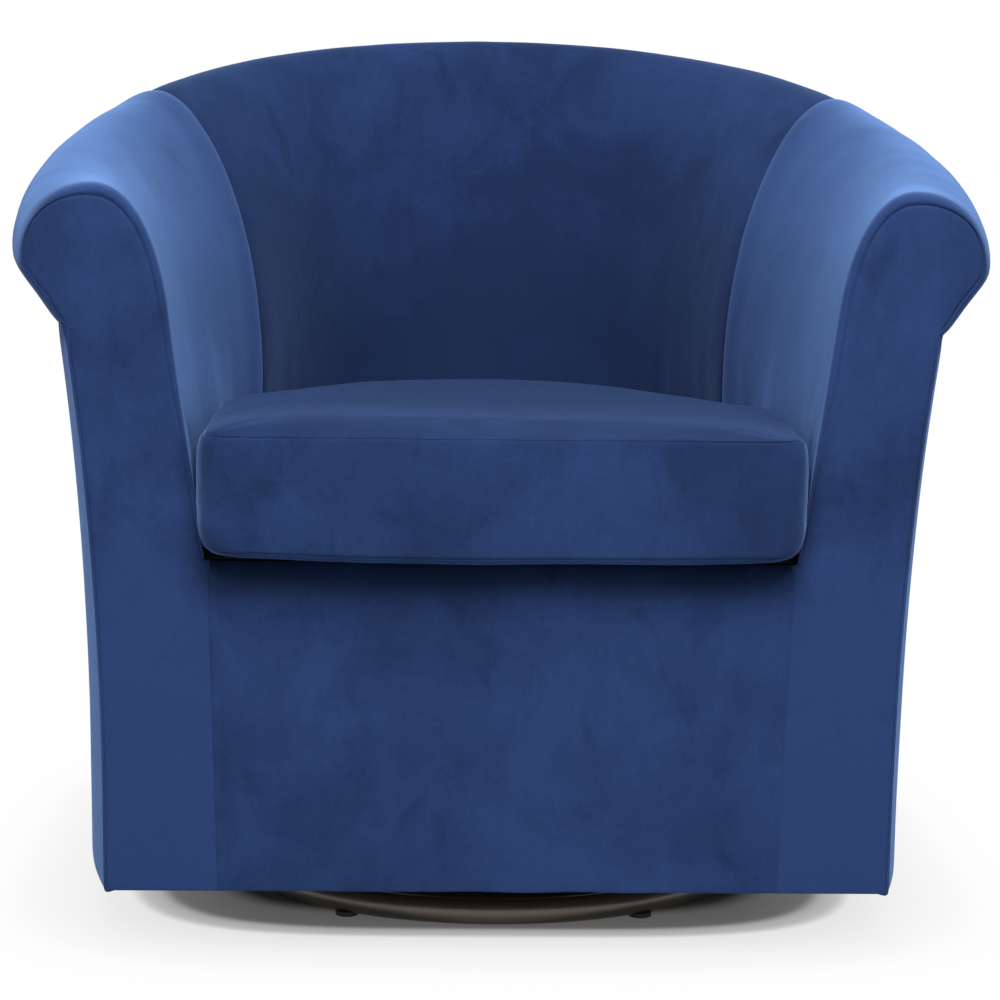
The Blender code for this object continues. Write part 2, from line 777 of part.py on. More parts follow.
def build_springs(seat, steel):
    """Four sinuous springs, each one bent wire."""
    for number, x in enumerate(SPRING_PLACES, 1):
        curve = bpy.data.curves.new(f"seat_spring_{number}", "CURVE")
        curve.dimensions = "3D"
        curve.bevel_depth = SPRING_WIRE / 2
        curve.bevel_resolution = 1
        curve.use_fill_caps = True
        points = spring_points(x)
        spline = curve.splines.new("POLY")
        spline.points.add(len(points) - 1)
        for spot, point in zip(spline.points, points):
            spot.co = (*point, 1.0)
        curve.materials.append(steel)
        spring = bpy.data.objects.new(f"seat_spring_{number}", curve)
        bpy.context.scene.collection.objects.link(spring)
        carry(spring, seat)


def deck_edge(place):
    """Offset of the deck's edge, just inside the wall."""
    return -seat_in(place) - GAP


def build_suspension(seat, steel, felt, cloth):
    """Clip bars, springs, deck pad and deck cloth."""
    y = FRONT_Y + FOAM_IN + (FRONT_BOARD_THICK - CLIP_WIDTH) / 2
    half, back = CLIP_BAR_HALF, y + CLIP_WIDTH
    bar = [(-half, y), (half, y), (half, back), (-half, back)]
    low = SEAT_RAIL_TOP + GAP
    carry(make_object("clip_bar_front", plate(bar, low, low + CLIP_THICK), steel), seat)
    carry(make_object("clip_bar_back", back_piece(clip_bar_outline, SEAT_RAIL_JOINT + GAP / 2), steel), seat)
    build_springs(seat, steel)
    pad = plate(tub_outline(deck_edge, FOAM_IN), DECK_PAD_Z, DECK_PAD_TOP)
    carry(make_object("deck_pad", pad, felt), seat)
    deck = plate(tub_outline(deck_edge, 0.0), DECK_Z, DECK_TOP)
    carry(make_object("deck_cloth", deck, cloth), seat)


# Upholstery of the tub

def build_upholstery(seat, velvet, foam, webbing, lining):
    """Foams, webs and covers of the wall, front panel and dust cover."""
    for word, side in (("right", 1), ("left", -1)):
        pieces = {
            "arm_foam": (foam_outline, LIP_DEPTH + 2 * GAP, INSIDE_SEAM - GAP / 2, foam),
            "inside_arm_cover": (arm_cover_outline, 0.0, INSIDE_SEAM - GAP / 2, velvet),
            "outside_arm_cover": (outside_cover_outline, 0.0, OUTSIDE_SEAM - GAP / 2, velvet),
            "arm_facing": (facing_outline, 0.0, COVER_THICK, velvet),
        }
        for name, (outline_at, start, end, material) in pieces.items():
            bm = arm_piece(outline_at, start, end, side)
            carry(make_object(f"{name}_{word}", bm, material, smooth=True), seat)
    inside_seam = INSIDE_SEAM + GAP / 2
    pieces = {
        "inside_back_foam": (foam_outline, inside_seam, foam),
        "inside_back_cover": (inside_cover_outline, inside_seam, velvet),
        "outside_back_cover": (outside_cover_outline, OUTSIDE_SEAM + GAP / 2, velvet),
    }
    for name, (outline_at, start, material) in pieces.items():
        carry(make_object(name, back_piece(outline_at, start), material, smooth=True), seat)
    for word, side in (("left", -1), ("middle", 0), ("right", 1)):
        carry(make_object(f"back_web_{word}", web_piece(web_outline, side), webbing), seat)
    build_front_panel(seat, velvet)
    build_dust_cover(seat, lining)


def build_front_panel(seat, velvet):
    """Flat velvet panel under the seat cushion."""
    low, high = SKIRT_BOTTOM, DECK_PAD_TOP - GAP / 2
    corners = [(-1, low), (1, low), (1, high), (-1, high)]
    outline = [(sign * (panel_half(z) - GAP / 2), z) for sign, z in corners]
    panel = front_plate(outline, FRONT_Y, FRONT_Y + COVER_THICK)
    carry(make_object("front_panel_cover", panel, velvet), seat)


def dust_edge(place):
    """Offset of the dust cover's edge, just inside the outside cover."""
    return outer_at(place, DUST_TOP) - FOAM_IN


def build_dust_cover(seat, lining):
    """Thin cloth under the frame, open round the swivel plate."""
    cloth = plate(tub_outline(dust_edge, FOAM_IN), DUST_TOP - DUST_THICK, DUST_TOP)
    cover = make_object("dust_cover", cloth, lining)
    carry(cover, seat)
    half = DUST_OPENING_HALF
    hole = [(-half, -half), (half, -half), (half, half), (-half, half)]
    subtract(cover, "dust_cover_opening", plate(hole, DUST_TOP - CUT_REACH, DUST_TOP + CUT_REACH))


# Seat cushion

def cushion_outline(height, shrink):
    """Plan outline of the cushion at a height: it fills the tub and stands out in front."""
    front = FRONT_Y - CUSHION_OVERHANG + shrink
    half = CUSHION_HALF_WIDTH - shrink
    right = []
    places = between(LIP_DEPTH, WALL_LENGTH)[::-2][::-1]
    for place in places:
        inner = narrowest_above(inner_chain(place), height) - CUSHION_SIDE_GAP - shrink
        x, y, _ = to_world(place, 1, [(inner, 0.0)])[0]
        right.append((min(x, half + (y - FRONT_Y) * CUSHION_TAPER), y))
    corner = CUSHION_CORNER
    rounded = []
    for step in range(4):
        angle = math.radians(-90 + 30 * step)
        rounded.append((half - corner + corner * math.cos(angle), front + corner + corner * math.sin(angle)))
    right = [(half / 2, front)] + rounded + right
    return right + [(-x, y) for x, y in right[-2::-1]]


def cushion_rings(shrink):
    """Rings from the underside to the crown, with drawn-in seams round the border."""
    low = DECK_TOP + GAP + shrink
    seam_low, seam_high = low + CUSHION_EDGE, DECK_TOP + GAP + CUSHION_BORDER - shrink
    middle_y = FRONT_Y + CUSHION_MIDDLE
    levels = [(blend(low, seam_low, share), 0.0, scale) for share, scale in CUSHION_UNDERSIDE]
    levels += [(blend(seam_low, seam_high, share), 0.0, scale) for share, scale in CUSHION_SIDES]
    levels += [(seam_high, crown * CUSHION_CROWN, scale) for crown, scale in CUSHION_TOP]
    rings = []
    for height, rise, scale in levels:
        plan = cushion_outline(max(height, WALL_FOOT_Z), shrink)
        rings.append([(x * scale, middle_y + (y - middle_y) * scale, height + rise) for x, y in plan])
    return rings


def build_cushion(axis, velvet, foam):
    """Loose seat cushion: a sewn cover with a zip opening behind, and its foam core."""
    cover = make_object("cushion_cover", loft(cushion_rings(0.0)), velvet, smooth=True)
    carry(cover, axis)
    hollow = loft(cushion_rings(CUSHION_COVER_THICK))
    subtract(cover, "cushion_hollow", hollow)
    back = FRONT_Y + WIDEST_DEPTH + REAR_LENGTH - seat_in(WALL_LENGTH)
    middle = DECK_TOP + CUSHION_BORDER / 2
    half = ZIP_LENGTH / 2
    slot = [(-half, back - ZIP_IN), (half, back - ZIP_IN), (half, back + ZIP_OUT), (-half, back + ZIP_OUT)]
    subtract(cover, "cushion_zip_opening", plate(slot, middle - ZIP_HEIGHT / 2, middle + ZIP_HEIGHT / 2))
    core = loft(cushion_rings(CUSHION_COVER_THICK + GAP))
    carry(make_object("cushion_core", core, foam, smooth=True), axis)


# Swivel base

def build_base(base, steel, zinc, plastic):
    """Ring, cross, glides, lower swivel plate and kingpin."""
    centre = RING_RADIUS - RING_TUBE / 2
    profile = []
    for side in range(RING_SIDES):
        angle = math.tau * (side + 0.5) / RING_SIDES
        profile.append((centre + RING_TUBE / 2 * math.cos(angle), RING_Z + RING_TUBE / 2 * math.sin(angle)))
    carry(make_object("base_ring", turned(profile, RING_SEGMENTS), steel, smooth=True), base)
    build_cross(base, steel)
    for number, degrees in enumerate(GLIDE_ANGLES, 1):
        angle = math.radians(degrees)
        place = (centre * math.sin(angle), -centre * math.cos(angle))
        glide = cylinder(GLIDE_RADIUS, 0.0, GLIDE_HEIGHT, place, BOLT_SIDES)
        carry(make_object(f"glide_{number}", glide, plastic, smooth=True), base)
    lower_square = square_plate(LOWER_PLATE_HALF, LOWER_PLATE_Z)
    lower = make_object("swivel_lower_plate", lower_square, zinc, smooth=True)
    carry(lower, base)
    race_top = BALL_Z - BALL_RADIUS + GROOVE_DEPTH - GAP
    unite(lower, "lower_race", race(LOWER_PLATE_Z + PLATE_THICK / 2, race_top, -1))
    pin_hole = cylinder(PIN_RADIUS + HOLE_EASE, 0.0, UPPER_PLATE_TOP + CUT_REACH, segments=PIN_SIDES)
    subtract(lower, "lower_pin_hole", pin_hole)
    build_kingpin(base, zinc)


def build_cross(base, steel):
    """Two bars welded into a cross inside the ring."""
    half = CROSS_WIDTH / 2
    reach = math.sqrt((RING_RADIUS - RING_TUBE - GAP) ** 2 - half ** 2)
    star = [(half, half), (reach, half), (reach, -half), (half, -half), (half, -reach), (-half, -reach),
            (-half, -half), (-reach, -half), (-reach, half), (-half, half), (-half, reach), (half, reach)]
    turn = math.cos(math.radians(45))
    outline = [((x - y) * turn, (x + y) * turn) for x, y in star]
    cross = make_object("base_cross", plate(outline, CROSS_Z, CROSS_TOP), steel)
    carry(cross, base)
    hole = cylinder(PIN_RADIUS + HOLE_EASE, 0.0, CROSS_TOP + CUT_REACH, segments=PIN_SIDES)
    subtract(cross, "cross_pin_hole", hole)


def square_plate(half, bottom):
    """Square steel plate with cut corners."""
    cut = half - PLATE_CORNER
    outline = [(-cut, -half), (cut, -half), (half, -cut), (half, cut), (cut, half), (-cut, half),
               (-half, cut), (-half, -cut)]
    return plate(outline, bottom, bottom + PLATE_THICK)


def race(foot, crest, way):
    """Ring with a groove for the balls; way is -1 for a groove in its top, 1 in its underside."""
    inner, outer = RACE_RADIUS - RACE_HALF_WIDTH, RACE_RADIUS + RACE_HALF_WIDTH
    half_groove = BALL_RADIUS * GROOVE_EASE
    bottom = crest + way * GROOVE_DEPTH
    profile = [(inner, foot), (outer, foot), (outer, crest), (RACE_RADIUS + half_groove, crest),
               (RACE_RADIUS + half_groove / 2, bottom), (RACE_RADIUS - half_groove / 2, bottom),
               (RACE_RADIUS - half_groove, crest), (inner, crest)]
    return turned(profile, RACE_SEGMENTS)


def build_kingpin(base, zinc):
    """Bolt on the swivel axis, head under the cross, nut over the upper plate."""
    pin = cylinder(PIN_HEAD_RADIUS, CROSS_Z - GAP - PIN_HEAD_HEIGHT, CROSS_Z - GAP, segments=6)
    pin_object = make_object("kingpin", pin, zinc, smooth=True)
    carry(pin_object, base)
    bottom = UPPER_PLATE_TOP + GAP
    top = bottom + NUT_HEIGHT + PIN_OVER_NUT
    shank = cylinder(PIN_RADIUS, CROSS_Z - GAP - PIN_HEAD_HEIGHT / 2, top, segments=PIN_SIDES)
    unite(pin_object, "kingpin_shank", shank)
    nut = make_object("kingpin_nut", cylinder(PIN_HEAD_RADIUS, bottom, bottom + NUT_HEIGHT, segments=6), zinc)
    carry(nut, base)
    bore = cylinder(PIN_RADIUS + GAP, bottom - CUT_REACH, bottom + NUT_HEIGHT + CUT_REACH, segments=PIN_SIDES)
    subtract(nut, "nut_bore", bore)


def build_ball_cage(cage, zinc):
    """Flat ring with the balls that it leads round the race."""
    inner, outer = RACE_RADIUS - CAGE_HALF_WIDTH, RACE_RADIUS + CAGE_HALF_WIDTH
    low, high = BALL_Z - CAGE_THICK / 2, BALL_Z + CAGE_THICK / 2
    band = turned([(inner, low), (outer, low), (outer, high), (inner, high)], RACE_SEGMENTS)
    ring = make_object("ball_cage", band, zinc, smooth=True)
    carry(ring, cage)
    balls = bmesh.new()
    for number in range(BALL_COUNT):
        angle = math.tau * number / BALL_COUNT
        made = bmesh.ops.create_uvsphere(balls, u_segments=6, v_segments=5, radius=BALL_RADIUS - GAP)
        place = (RACE_RADIUS * math.cos(angle), RACE_RADIUS * math.sin(angle), BALL_Z)
        bmesh.ops.translate(balls, verts=made["verts"], vec=place)
    unite(ring, "cage_balls", balls)


def build_upper_plate(seat, zinc):
    """Upper swivel plate and the four bolts that hold it under the slats."""
    upper_square = square_plate(UPPER_PLATE_HALF, UPPER_PLATE_Z)
    upper = make_object("swivel_upper_plate", upper_square, zinc, smooth=True)
    carry(upper, seat)
    race_under = BALL_Z + BALL_RADIUS - GROOVE_DEPTH + GAP
    unite(upper, "upper_race", race(UPPER_PLATE_Z + PLATE_THICK / 2, race_under, 1))
    holes = cylinder(PIN_RADIUS + HOLE_EASE, BALL_Z, UPPER_PLATE_TOP + CUT_REACH, segments=PIN_SIDES)
    corners = [(x * PLATE_BOLT_PLACE, y * PLATE_BOLT_PLACE) for x in (-1, 1) for y in (-1, 1)]
    for corner in corners:
        cylinder(PLATE_BOLT_RADIUS + HOLE_EASE, UPPER_PLATE_Z - CUT_REACH, UPPER_PLATE_TOP + CUT_REACH,
                 corner, BOLT_SIDES, holes)
    subtract(upper, "upper_plate_holes", holes)
    for number, corner in enumerate(corners, 1):
        low = UPPER_PLATE_Z - GAP - PLATE_BOLT_HEAD_HEIGHT
        head = cylinder(PLATE_BOLT_HEAD_RADIUS, low, UPPER_PLATE_Z - GAP, corner, 6)
        bolt = make_object(f"plate_bolt_{number}", head, zinc, smooth=True)
        carry(bolt, seat)
        foot = low + PLATE_BOLT_HEAD_HEIGHT / 2
        shank = cylinder(PLATE_BOLT_RADIUS, foot, FOOT_BOARD_TOP, corner, BOLT_SIDES)
        unite(bolt, f"plate_bolt_shank_{number}", shank)


def main():
    """Build the whole chair."""
    clear_scene()
    velvet = make_material("velvet", (0.012, 0.045, 0.19), 0.75)
    foam = make_material("foam", (0.75, 0.70, 0.50), 0.9)
    wood = make_material("hardwood", (0.45, 0.30, 0.16), 0.6)
    plywood = make_material("plywood", (0.60, 0.45, 0.27), 0.65)
    steel = make_material("painted_steel", (0.035, 0.028, 0.024), 0.35, 0.6)
    wire = make_material("spring_steel", (0.30, 0.30, 0.31), 0.35, 1.0)
    zinc = make_material("zinc_steel", (0.55, 0.55, 0.56), 0.35, 1.0)
    plastic = make_material("black_plastic", (0.02, 0.02, 0.02), 0.5)
    lining = make_material("lining_cloth", (0.02, 0.02, 0.022), 0.95)
    webbing = make_material("webbing", (0.50, 0.42, 0.30), 0.9)
    base = make_axis("base_frame", (0, 0, 0))
    cage = make_axis("ball_cage_axis", (0, 0, BALL_Z))
    seat = make_axis("swivel_axis", (0, 0, UPPER_PLATE_TOP))
    cushion = make_axis("cushion_lift", (0, 0, DECK_TOP))
    build_base(base, steel, zinc, plastic)
    build_ball_cage(cage, zinc)
    build_upper_plate(seat, zinc)
    build_frame(seat, wood, plywood)
    build_suspension(seat, wire, webbing, lining)
    build_upholstery(seat, velvet, foam, webbing, lining)
    build_cushion(cushion, velvet, foam)


main()
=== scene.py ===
"""Looks of the swivel club chair: velvet covers, seat cushion, round base, floor, light and camera.

The covers follow the same plan line and wall section as the solids under them, in metres.
"""

import json
import math

import bmesh
import bpy
import numpy as np
from bpy.props import FloatProperty, FloatVectorProperty, PointerProperty
from mathutils import Matrix, Vector, noise


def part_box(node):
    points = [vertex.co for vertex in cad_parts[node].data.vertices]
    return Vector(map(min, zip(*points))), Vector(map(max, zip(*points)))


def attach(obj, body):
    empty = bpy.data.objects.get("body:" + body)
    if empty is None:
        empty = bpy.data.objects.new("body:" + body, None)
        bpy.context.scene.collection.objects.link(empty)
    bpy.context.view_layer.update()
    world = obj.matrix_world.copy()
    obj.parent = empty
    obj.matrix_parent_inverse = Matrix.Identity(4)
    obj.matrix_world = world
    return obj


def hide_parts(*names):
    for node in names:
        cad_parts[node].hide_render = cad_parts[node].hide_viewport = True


bl_info = {
    "name": "Swivel Club Chair Looks",
    "version": (1, 0, 0),
    "blender": (4, 5, 0),
    "location": "3D View > Sidebar > Club Chair",
    "description": "Velvet covers, cushion, base and stage for a round swivel chair",
    "category": "Add Mesh",
}

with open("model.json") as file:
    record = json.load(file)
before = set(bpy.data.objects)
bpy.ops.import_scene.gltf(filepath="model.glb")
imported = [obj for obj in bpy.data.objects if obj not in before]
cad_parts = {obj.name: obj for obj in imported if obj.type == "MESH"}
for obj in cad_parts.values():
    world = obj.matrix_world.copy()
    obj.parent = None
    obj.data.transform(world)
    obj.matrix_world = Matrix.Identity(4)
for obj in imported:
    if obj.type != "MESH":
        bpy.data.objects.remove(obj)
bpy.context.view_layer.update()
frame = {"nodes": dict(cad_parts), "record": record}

# Plan of the tub: foot line of the outside cover
FRONT_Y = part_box("front_panel_cover")[0][1]
TUB_HALF_WIDTH = 0.3834
FRONT_TOE_IN = 0.0363
WIDEST_DEPTH = 0.250
REAR_LENGTH = 0.4471
PLAN_POWER = 2.05

# Roll along the top of the wall: front of the arm, widest place, middle of the back
ROLL_RADIUS = (0.0655, 0.0545)
ROLL_HEIGHT = (0.618, 0.7777)
ROLL_RISE_POWER = 1.785
ROLL_OUT = (0.0030, 0.0005, 0.0274)
NOTCH_ANGLE = math.radians(-66)
TUCK_ANGLE = math.radians(-84)

# The roll's underside is pulled flat by a share of the radius, from this angle down
FLAT_FROM = math.radians(-5)
UNDER_PULL = 0.13

# Inner and outer face of the wall
FLARE_POWER = 2.42
INNER_LEAN = (0.127, -0.200, 0.335)
SHOULDER_WIDTH = (0.0655, 0.110)
SHOULDER_HEIGHT = (0.110, 0.402)
CIRCLE_HANDLE = 0.5523

# Heights and seams
SKIRT_BOTTOM = 0.0628
DECK_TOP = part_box("deck_cloth")[1][2]
WALL_FOOT_Z = DECK_TOP + 0.0005
PANEL_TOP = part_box("front_panel_cover")[1][2]
INSIDE_SEAM = 0.474
OUTSIDE_SEAM = 0.630
PANEL_HALF = (0.2484, 0.2559)
COVER_THICK = 0.002

# The painted ring's underside over the floor
RING_LIFT = 0.0020

# Cushion: height of its boxing, half width, plan corner, reach in front of the solid, room beside the arms
CUSHION_BORDER = 0.1100
CUSHION_HALF_WIDTH = 0.2640
CUSHION_CORNER = 0.026
CUSHION_REACH = 0.017
CUSHION_ROOM = 0.0012
CUSHION_WIDENING = 0.035

# Points of a section line: on the straight face, over the shoulder, round the roll; one just past its top
FACE_POINTS, SHOULDER_POINTS, ROLL_POINTS = 12, 20, 22
TOP_POINT = FACE_POINTS + SHOULDER_POINTS + 2


# Small tools for sizes

def ease(value):
    """Smooth step from 0 to 1."""
    value = min(max(value, 0.0), 1.0)
    return value * value * (3 - 2 * value)


def blend(first, last, share):
    """A value between two others."""
    return first + (last - first) * share


def steps(first, last, spacing):
    """Evenly spaced values from first to last."""
    count = max(1, math.ceil((last - first) / spacing))
    return [blend(first, last, step / count) for step in range(count + 1)]


# Plan line and section of the wall

def rear_table(count=600):
    """The rear half-oval as arc length, place and outward direction."""
    angle = np.linspace(0, math.pi / 2, count)
    across = np.cos(angle) ** (2 / PLAN_POWER)
    along = np.sin(angle) ** (2 / PLAN_POWER)
    x, y = TUB_HALF_WIDTH * across, WIDEST_DEPTH + REAR_LENGTH * along
    out_x = across ** (PLAN_POWER - 1) / TUB_HALF_WIDTH
    out_y = along ** (PLAN_POWER - 1) / REAR_LENGTH
    length = np.hypot(out_x, out_y)
    arc = np.concatenate(([0.0], np.cumsum(np.hypot(np.diff(x), np.diff(y)))))
    return arc, x, y, out_x / length, out_y / length


REAR = rear_table()
WALL_LENGTH = WIDEST_DEPTH + float(REAR[0][-1])


def wall_frame(place):
    """Foot point and outward direction of the right half of the wall."""
    if place <= WIDEST_DEPTH:
        rest = (WIDEST_DEPTH - place) / WIDEST_DEPTH
        return TUB_HALF_WIDTH - FRONT_TOE_IN * rest * rest, FRONT_Y + place, 1.0, 0.0
    x, y, out_x, out_y = (float(np.interp(place - WIDEST_DEPTH, REAR[0], column)) for column in REAR[1:])
    length = math.hypot(out_x, out_y)
    return x, FRONT_Y + y, out_x / length, out_y / length


def roll_at(place):
    """Radius, outward place and height of the roll's centre."""
    radius = blend(*ROLL_RADIUS, ease(place / WALL_LENGTH))
    rise = math.sin(math.pi / 2 * min(max(place / WALL_LENGTH, 0.0), 1.0)) ** ROLL_RISE_POWER
    if place < WIDEST_DEPTH:
        out = blend(ROLL_OUT[0], ROLL_OUT[1], math.sin(math.pi / 2 * max(place, 0.0) / WIDEST_DEPTH))
    else:
        out = blend(ROLL_OUT[1], ROLL_OUT[2], ease((place - WIDEST_DEPTH) / (WALL_LENGTH - WIDEST_DEPTH)))
    return radius, out, blend(*ROLL_HEIGHT, rise)


def inner_lean(place):
    """How far the foot of the inner face leans outward for each metre up."""
    if place < INSIDE_SEAM:
        return blend(INNER_LEAN[0], INNER_LEAN[1], ease(place / INSIDE_SEAM))
    return blend(INNER_LEAN[1], INNER_LEAN[2], ease((place - INSIDE_SEAM) / (WALL_LENGTH - INSIDE_SEAM)))


def curve_between(start, start_handle, end_handle, end, count):
    """Points of a cubic curve, without its first point."""
    share = np.arange(1, count + 1)[:, None] / count
    rest = 1 - share
    curve = (rest ** 3 * np.array(start) + 3 * rest ** 2 * share * np.array(start_handle)
             + 3 * rest * share ** 2 * np.array(end_handle) + share ** 3 * np.array(end))
    return [tuple(point) for point in curve]


def inner_line(place, detail=1.0):
    """Inner face from the seat up, over the roll and down past the notch under it."""
    radius, out, height = roll_at(place)
    reach = ease(place / INSIDE_SEAM)
    width, fall = blend(*SHOULDER_WIDTH, reach), blend(*SHOULDER_HEIGHT, reach)
    lean, top = inner_lean(place), (out, height + radius)
    shoulder = (out - width, height + radius - fall)
    rise = shoulder[1] - WALL_FOOT_Z
    run = rise * lean
    foot = (shoulder[0] - run, WALL_FOOT_Z)
    pull = fall * CIRCLE_HANDLE / math.hypot(lean, 1)
    lower_handle = (shoulder[0] + lean * pull, shoulder[1] + pull)
    upper_handle = (top[0] - width * CIRCLE_HANDLE, top[1])
    straight = round(FACE_POINTS * detail)
    points = [(foot[0] + run * step / straight, foot[1] + rise * step / straight)
              for step in range(straight + 1)]
    points += curve_between(shoulder, lower_handle, upper_handle, top, round(SHOULDER_POINTS * detail))
    turns = round(ROLL_POINTS * detail)
    for step in range(1, turns + 1):
        angle = blend(math.pi / 2, TUCK_ANGLE, step / turns)
        under = min(max((FLAT_FROM - angle) / (FLAT_FROM - NOTCH_ANGLE), 0.0), 1.0)
        pulled = radius * (1 - UNDER_PULL * math.sin(math.pi * under) * (1 - reach))
        points.append((out + pulled * math.cos(angle), height + pulled * math.sin(angle)))
    return points


def notch(place):
    """Where the outside cover meets the underside of the roll."""
    radius, out, height = roll_at(place)
    return out + radius * math.cos(NOTCH_ANGLE), height + radius * math.sin(NOTCH_ANGLE)


def outer_at(place, height):
    """Outward place of the outside cover at a height below the notch."""
    out, top = notch(place)
    return out * min(max((height - SKIRT_BOTTOM) / (top - SKIRT_BOTTOM), 0.0), 1.0) ** FLARE_POWER


def outer_line(place, bottom=SKIRT_BOTTOM, count=40):
    """Outside face from just under the roll down to a height."""
    top = notch(place)[1] - 0.0005
    heights = [blend(top, bottom, (step / (count - 1)) ** 0.9) for step in range(count)]
    return [(outer_at(place, height), height) for height in heights]


def drawn_in(line, depths):
    """A section line moved into the wall, by one depth or by one for each point."""
    points = np.array(line)
    ways = np.gradient(points, axis=0)
    ways /= np.hypot(ways[:, 0], ways[:, 1])[:, None]
    inward = np.stack([ways[:, 1], -ways[:, 0]], axis=1)
    return [tuple(point) for point in points + inward * np.reshape(depths, (-1, 1))]


def in_space(place, side, line):
    """Section points in space, on the right (1) or left (-1) side of the chair."""
    x, y, out_x, out_y = wall_frame(place)
    return [Vector((side * (x + out_x * out), y + out_y * out, height)) for out, height in line]


def face_at(line, height):
    """Outward place on the rising part of a line at a height."""
    points = np.array(line)
    rising = points[:int(np.argmax(points[:, 1])) + 1]
    return float(np.interp(height, rising[:, 1], rising[:, 0]))


# Small tools for meshes

def extruded(bm, row, edges, points):
    """Extrude a row of edges to new points."""
    made = bmesh.ops.extrude_edge_only(bm, edges=edges)["geom"]
    fresh = {item for item in made if isinstance(item, bmesh.types.BMVert)}
    row = [next(edge.other_vert(vert) for edge in vert.link_edges if edge.other_vert(vert) in fresh)
           for vert in row]
    for vert, point in zip(row, points):
        vert.co = point
    return row, [item for item in made if isinstance(item, bmesh.types.BMEdge) and set(item.verts) <= fresh]


def swept(rows, outward):
    """A cloth surface through rows of points; outward is the way that most of it looks."""
    bm = bmesh.new()
    row = [bm.verts.new(point) for point in rows[0]]
    edges = [bm.edges.new(pair) for pair in zip(row, row[1:])]
    for points in rows[1:]:
        row, edges = extruded(bm, row, edges, points)
    bm.normal_update()
    looks_out = sum(face.normal.dot(outward(face.calc_center_median())) * face.calc_area() for face in bm.faces)
    if looks_out < 0:
        bmesh.ops.reverse_faces(bm, faces=bm.faces)
    bm.normal_update()
    return bm


def soften(bm, height, width, seed=0.0):
    """Low swells of the padding under a cover."""
    bm.normal_update()
    shift = Vector((seed, seed * 0.7, -seed))
    for vert in bm.verts:
        swell = noise.noise(vert.co / width + shift) + 0.45 * noise.noise(vert.co / (width * 0.37) - shift)
        vert.co += vert.normal * height * swell


def new_piece(name, bm, material, body, replaced=(), thick=0.0, levels=0, nap=0.15):
    """Turn a bmesh into a piece that rides on a body.

    The nap value is a number or a function of a place: 1 where the pile leans to the light and shows most
    painted sheen, -1 where it lies down; it also holds painted light and shade.
    """
    mesh = bpy.data.meshes.new(name)
    bm.to_mesh(mesh)
    bm.free()
    lie = mesh.attributes.new("nap", "FLOAT", "POINT")
    lie.data.foreach_set("value", [nap(vert.co) if callable(nap) else nap for vert in mesh.vertices])
    mesh.materials.append(material)
    mesh.shade_smooth()
    piece = bpy.data.objects.new(name, mesh)
    bpy.context.scene.collection.objects.link(piece)
    if thick:
        wall = piece.modifiers.new("cloth_thickness", "SOLIDIFY")
        wall.thickness = thick
        wall.offset = -1
    if levels:
        finer = piece.modifiers.new("smooth_cloth", "SUBSURF")
        finer.levels = finer.render_levels = levels
    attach(piece, body)
    if replaced:
        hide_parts(*replaced)
    return piece


def cover(name, rows, outward, material, replaced, swell, nap=0.15):
    """A swept cover of the seat with swells of (height, width, seed) and its padding."""
    bm = swept(rows, outward)
    soften(bm, *swell)
    piece = new_piece(name, bm, material, "seat", replaced, COVER_THICK, 1, nap)


# Small tools for materials

class Number:
    """A socket that holds a number over the surface; arithmetic on it adds Math nodes."""

    def __init__(self, finish, socket):
        self.finish, self.socket = finish, socket

    def maths(operation, swapped=False):
        """The method that adds one Math node, with the operands swapped for a number on the left."""
        def operate(self, other):
            first, second = (other, self) if swapped else (self, other)
            node = self.finish.node("ShaderNodeMath", {"operation": operation}, {0: first, 1: second})
            return Number(self.finish, node.outputs[0])
        return operate

    __add__ = __radd__ = maths("ADD")
    __mul__ = __rmul__ = maths("MULTIPLY")
    __sub__, __rsub__ = maths("SUBTRACT"), maths("SUBTRACT", True)
    __pow__ = maths("POWER")


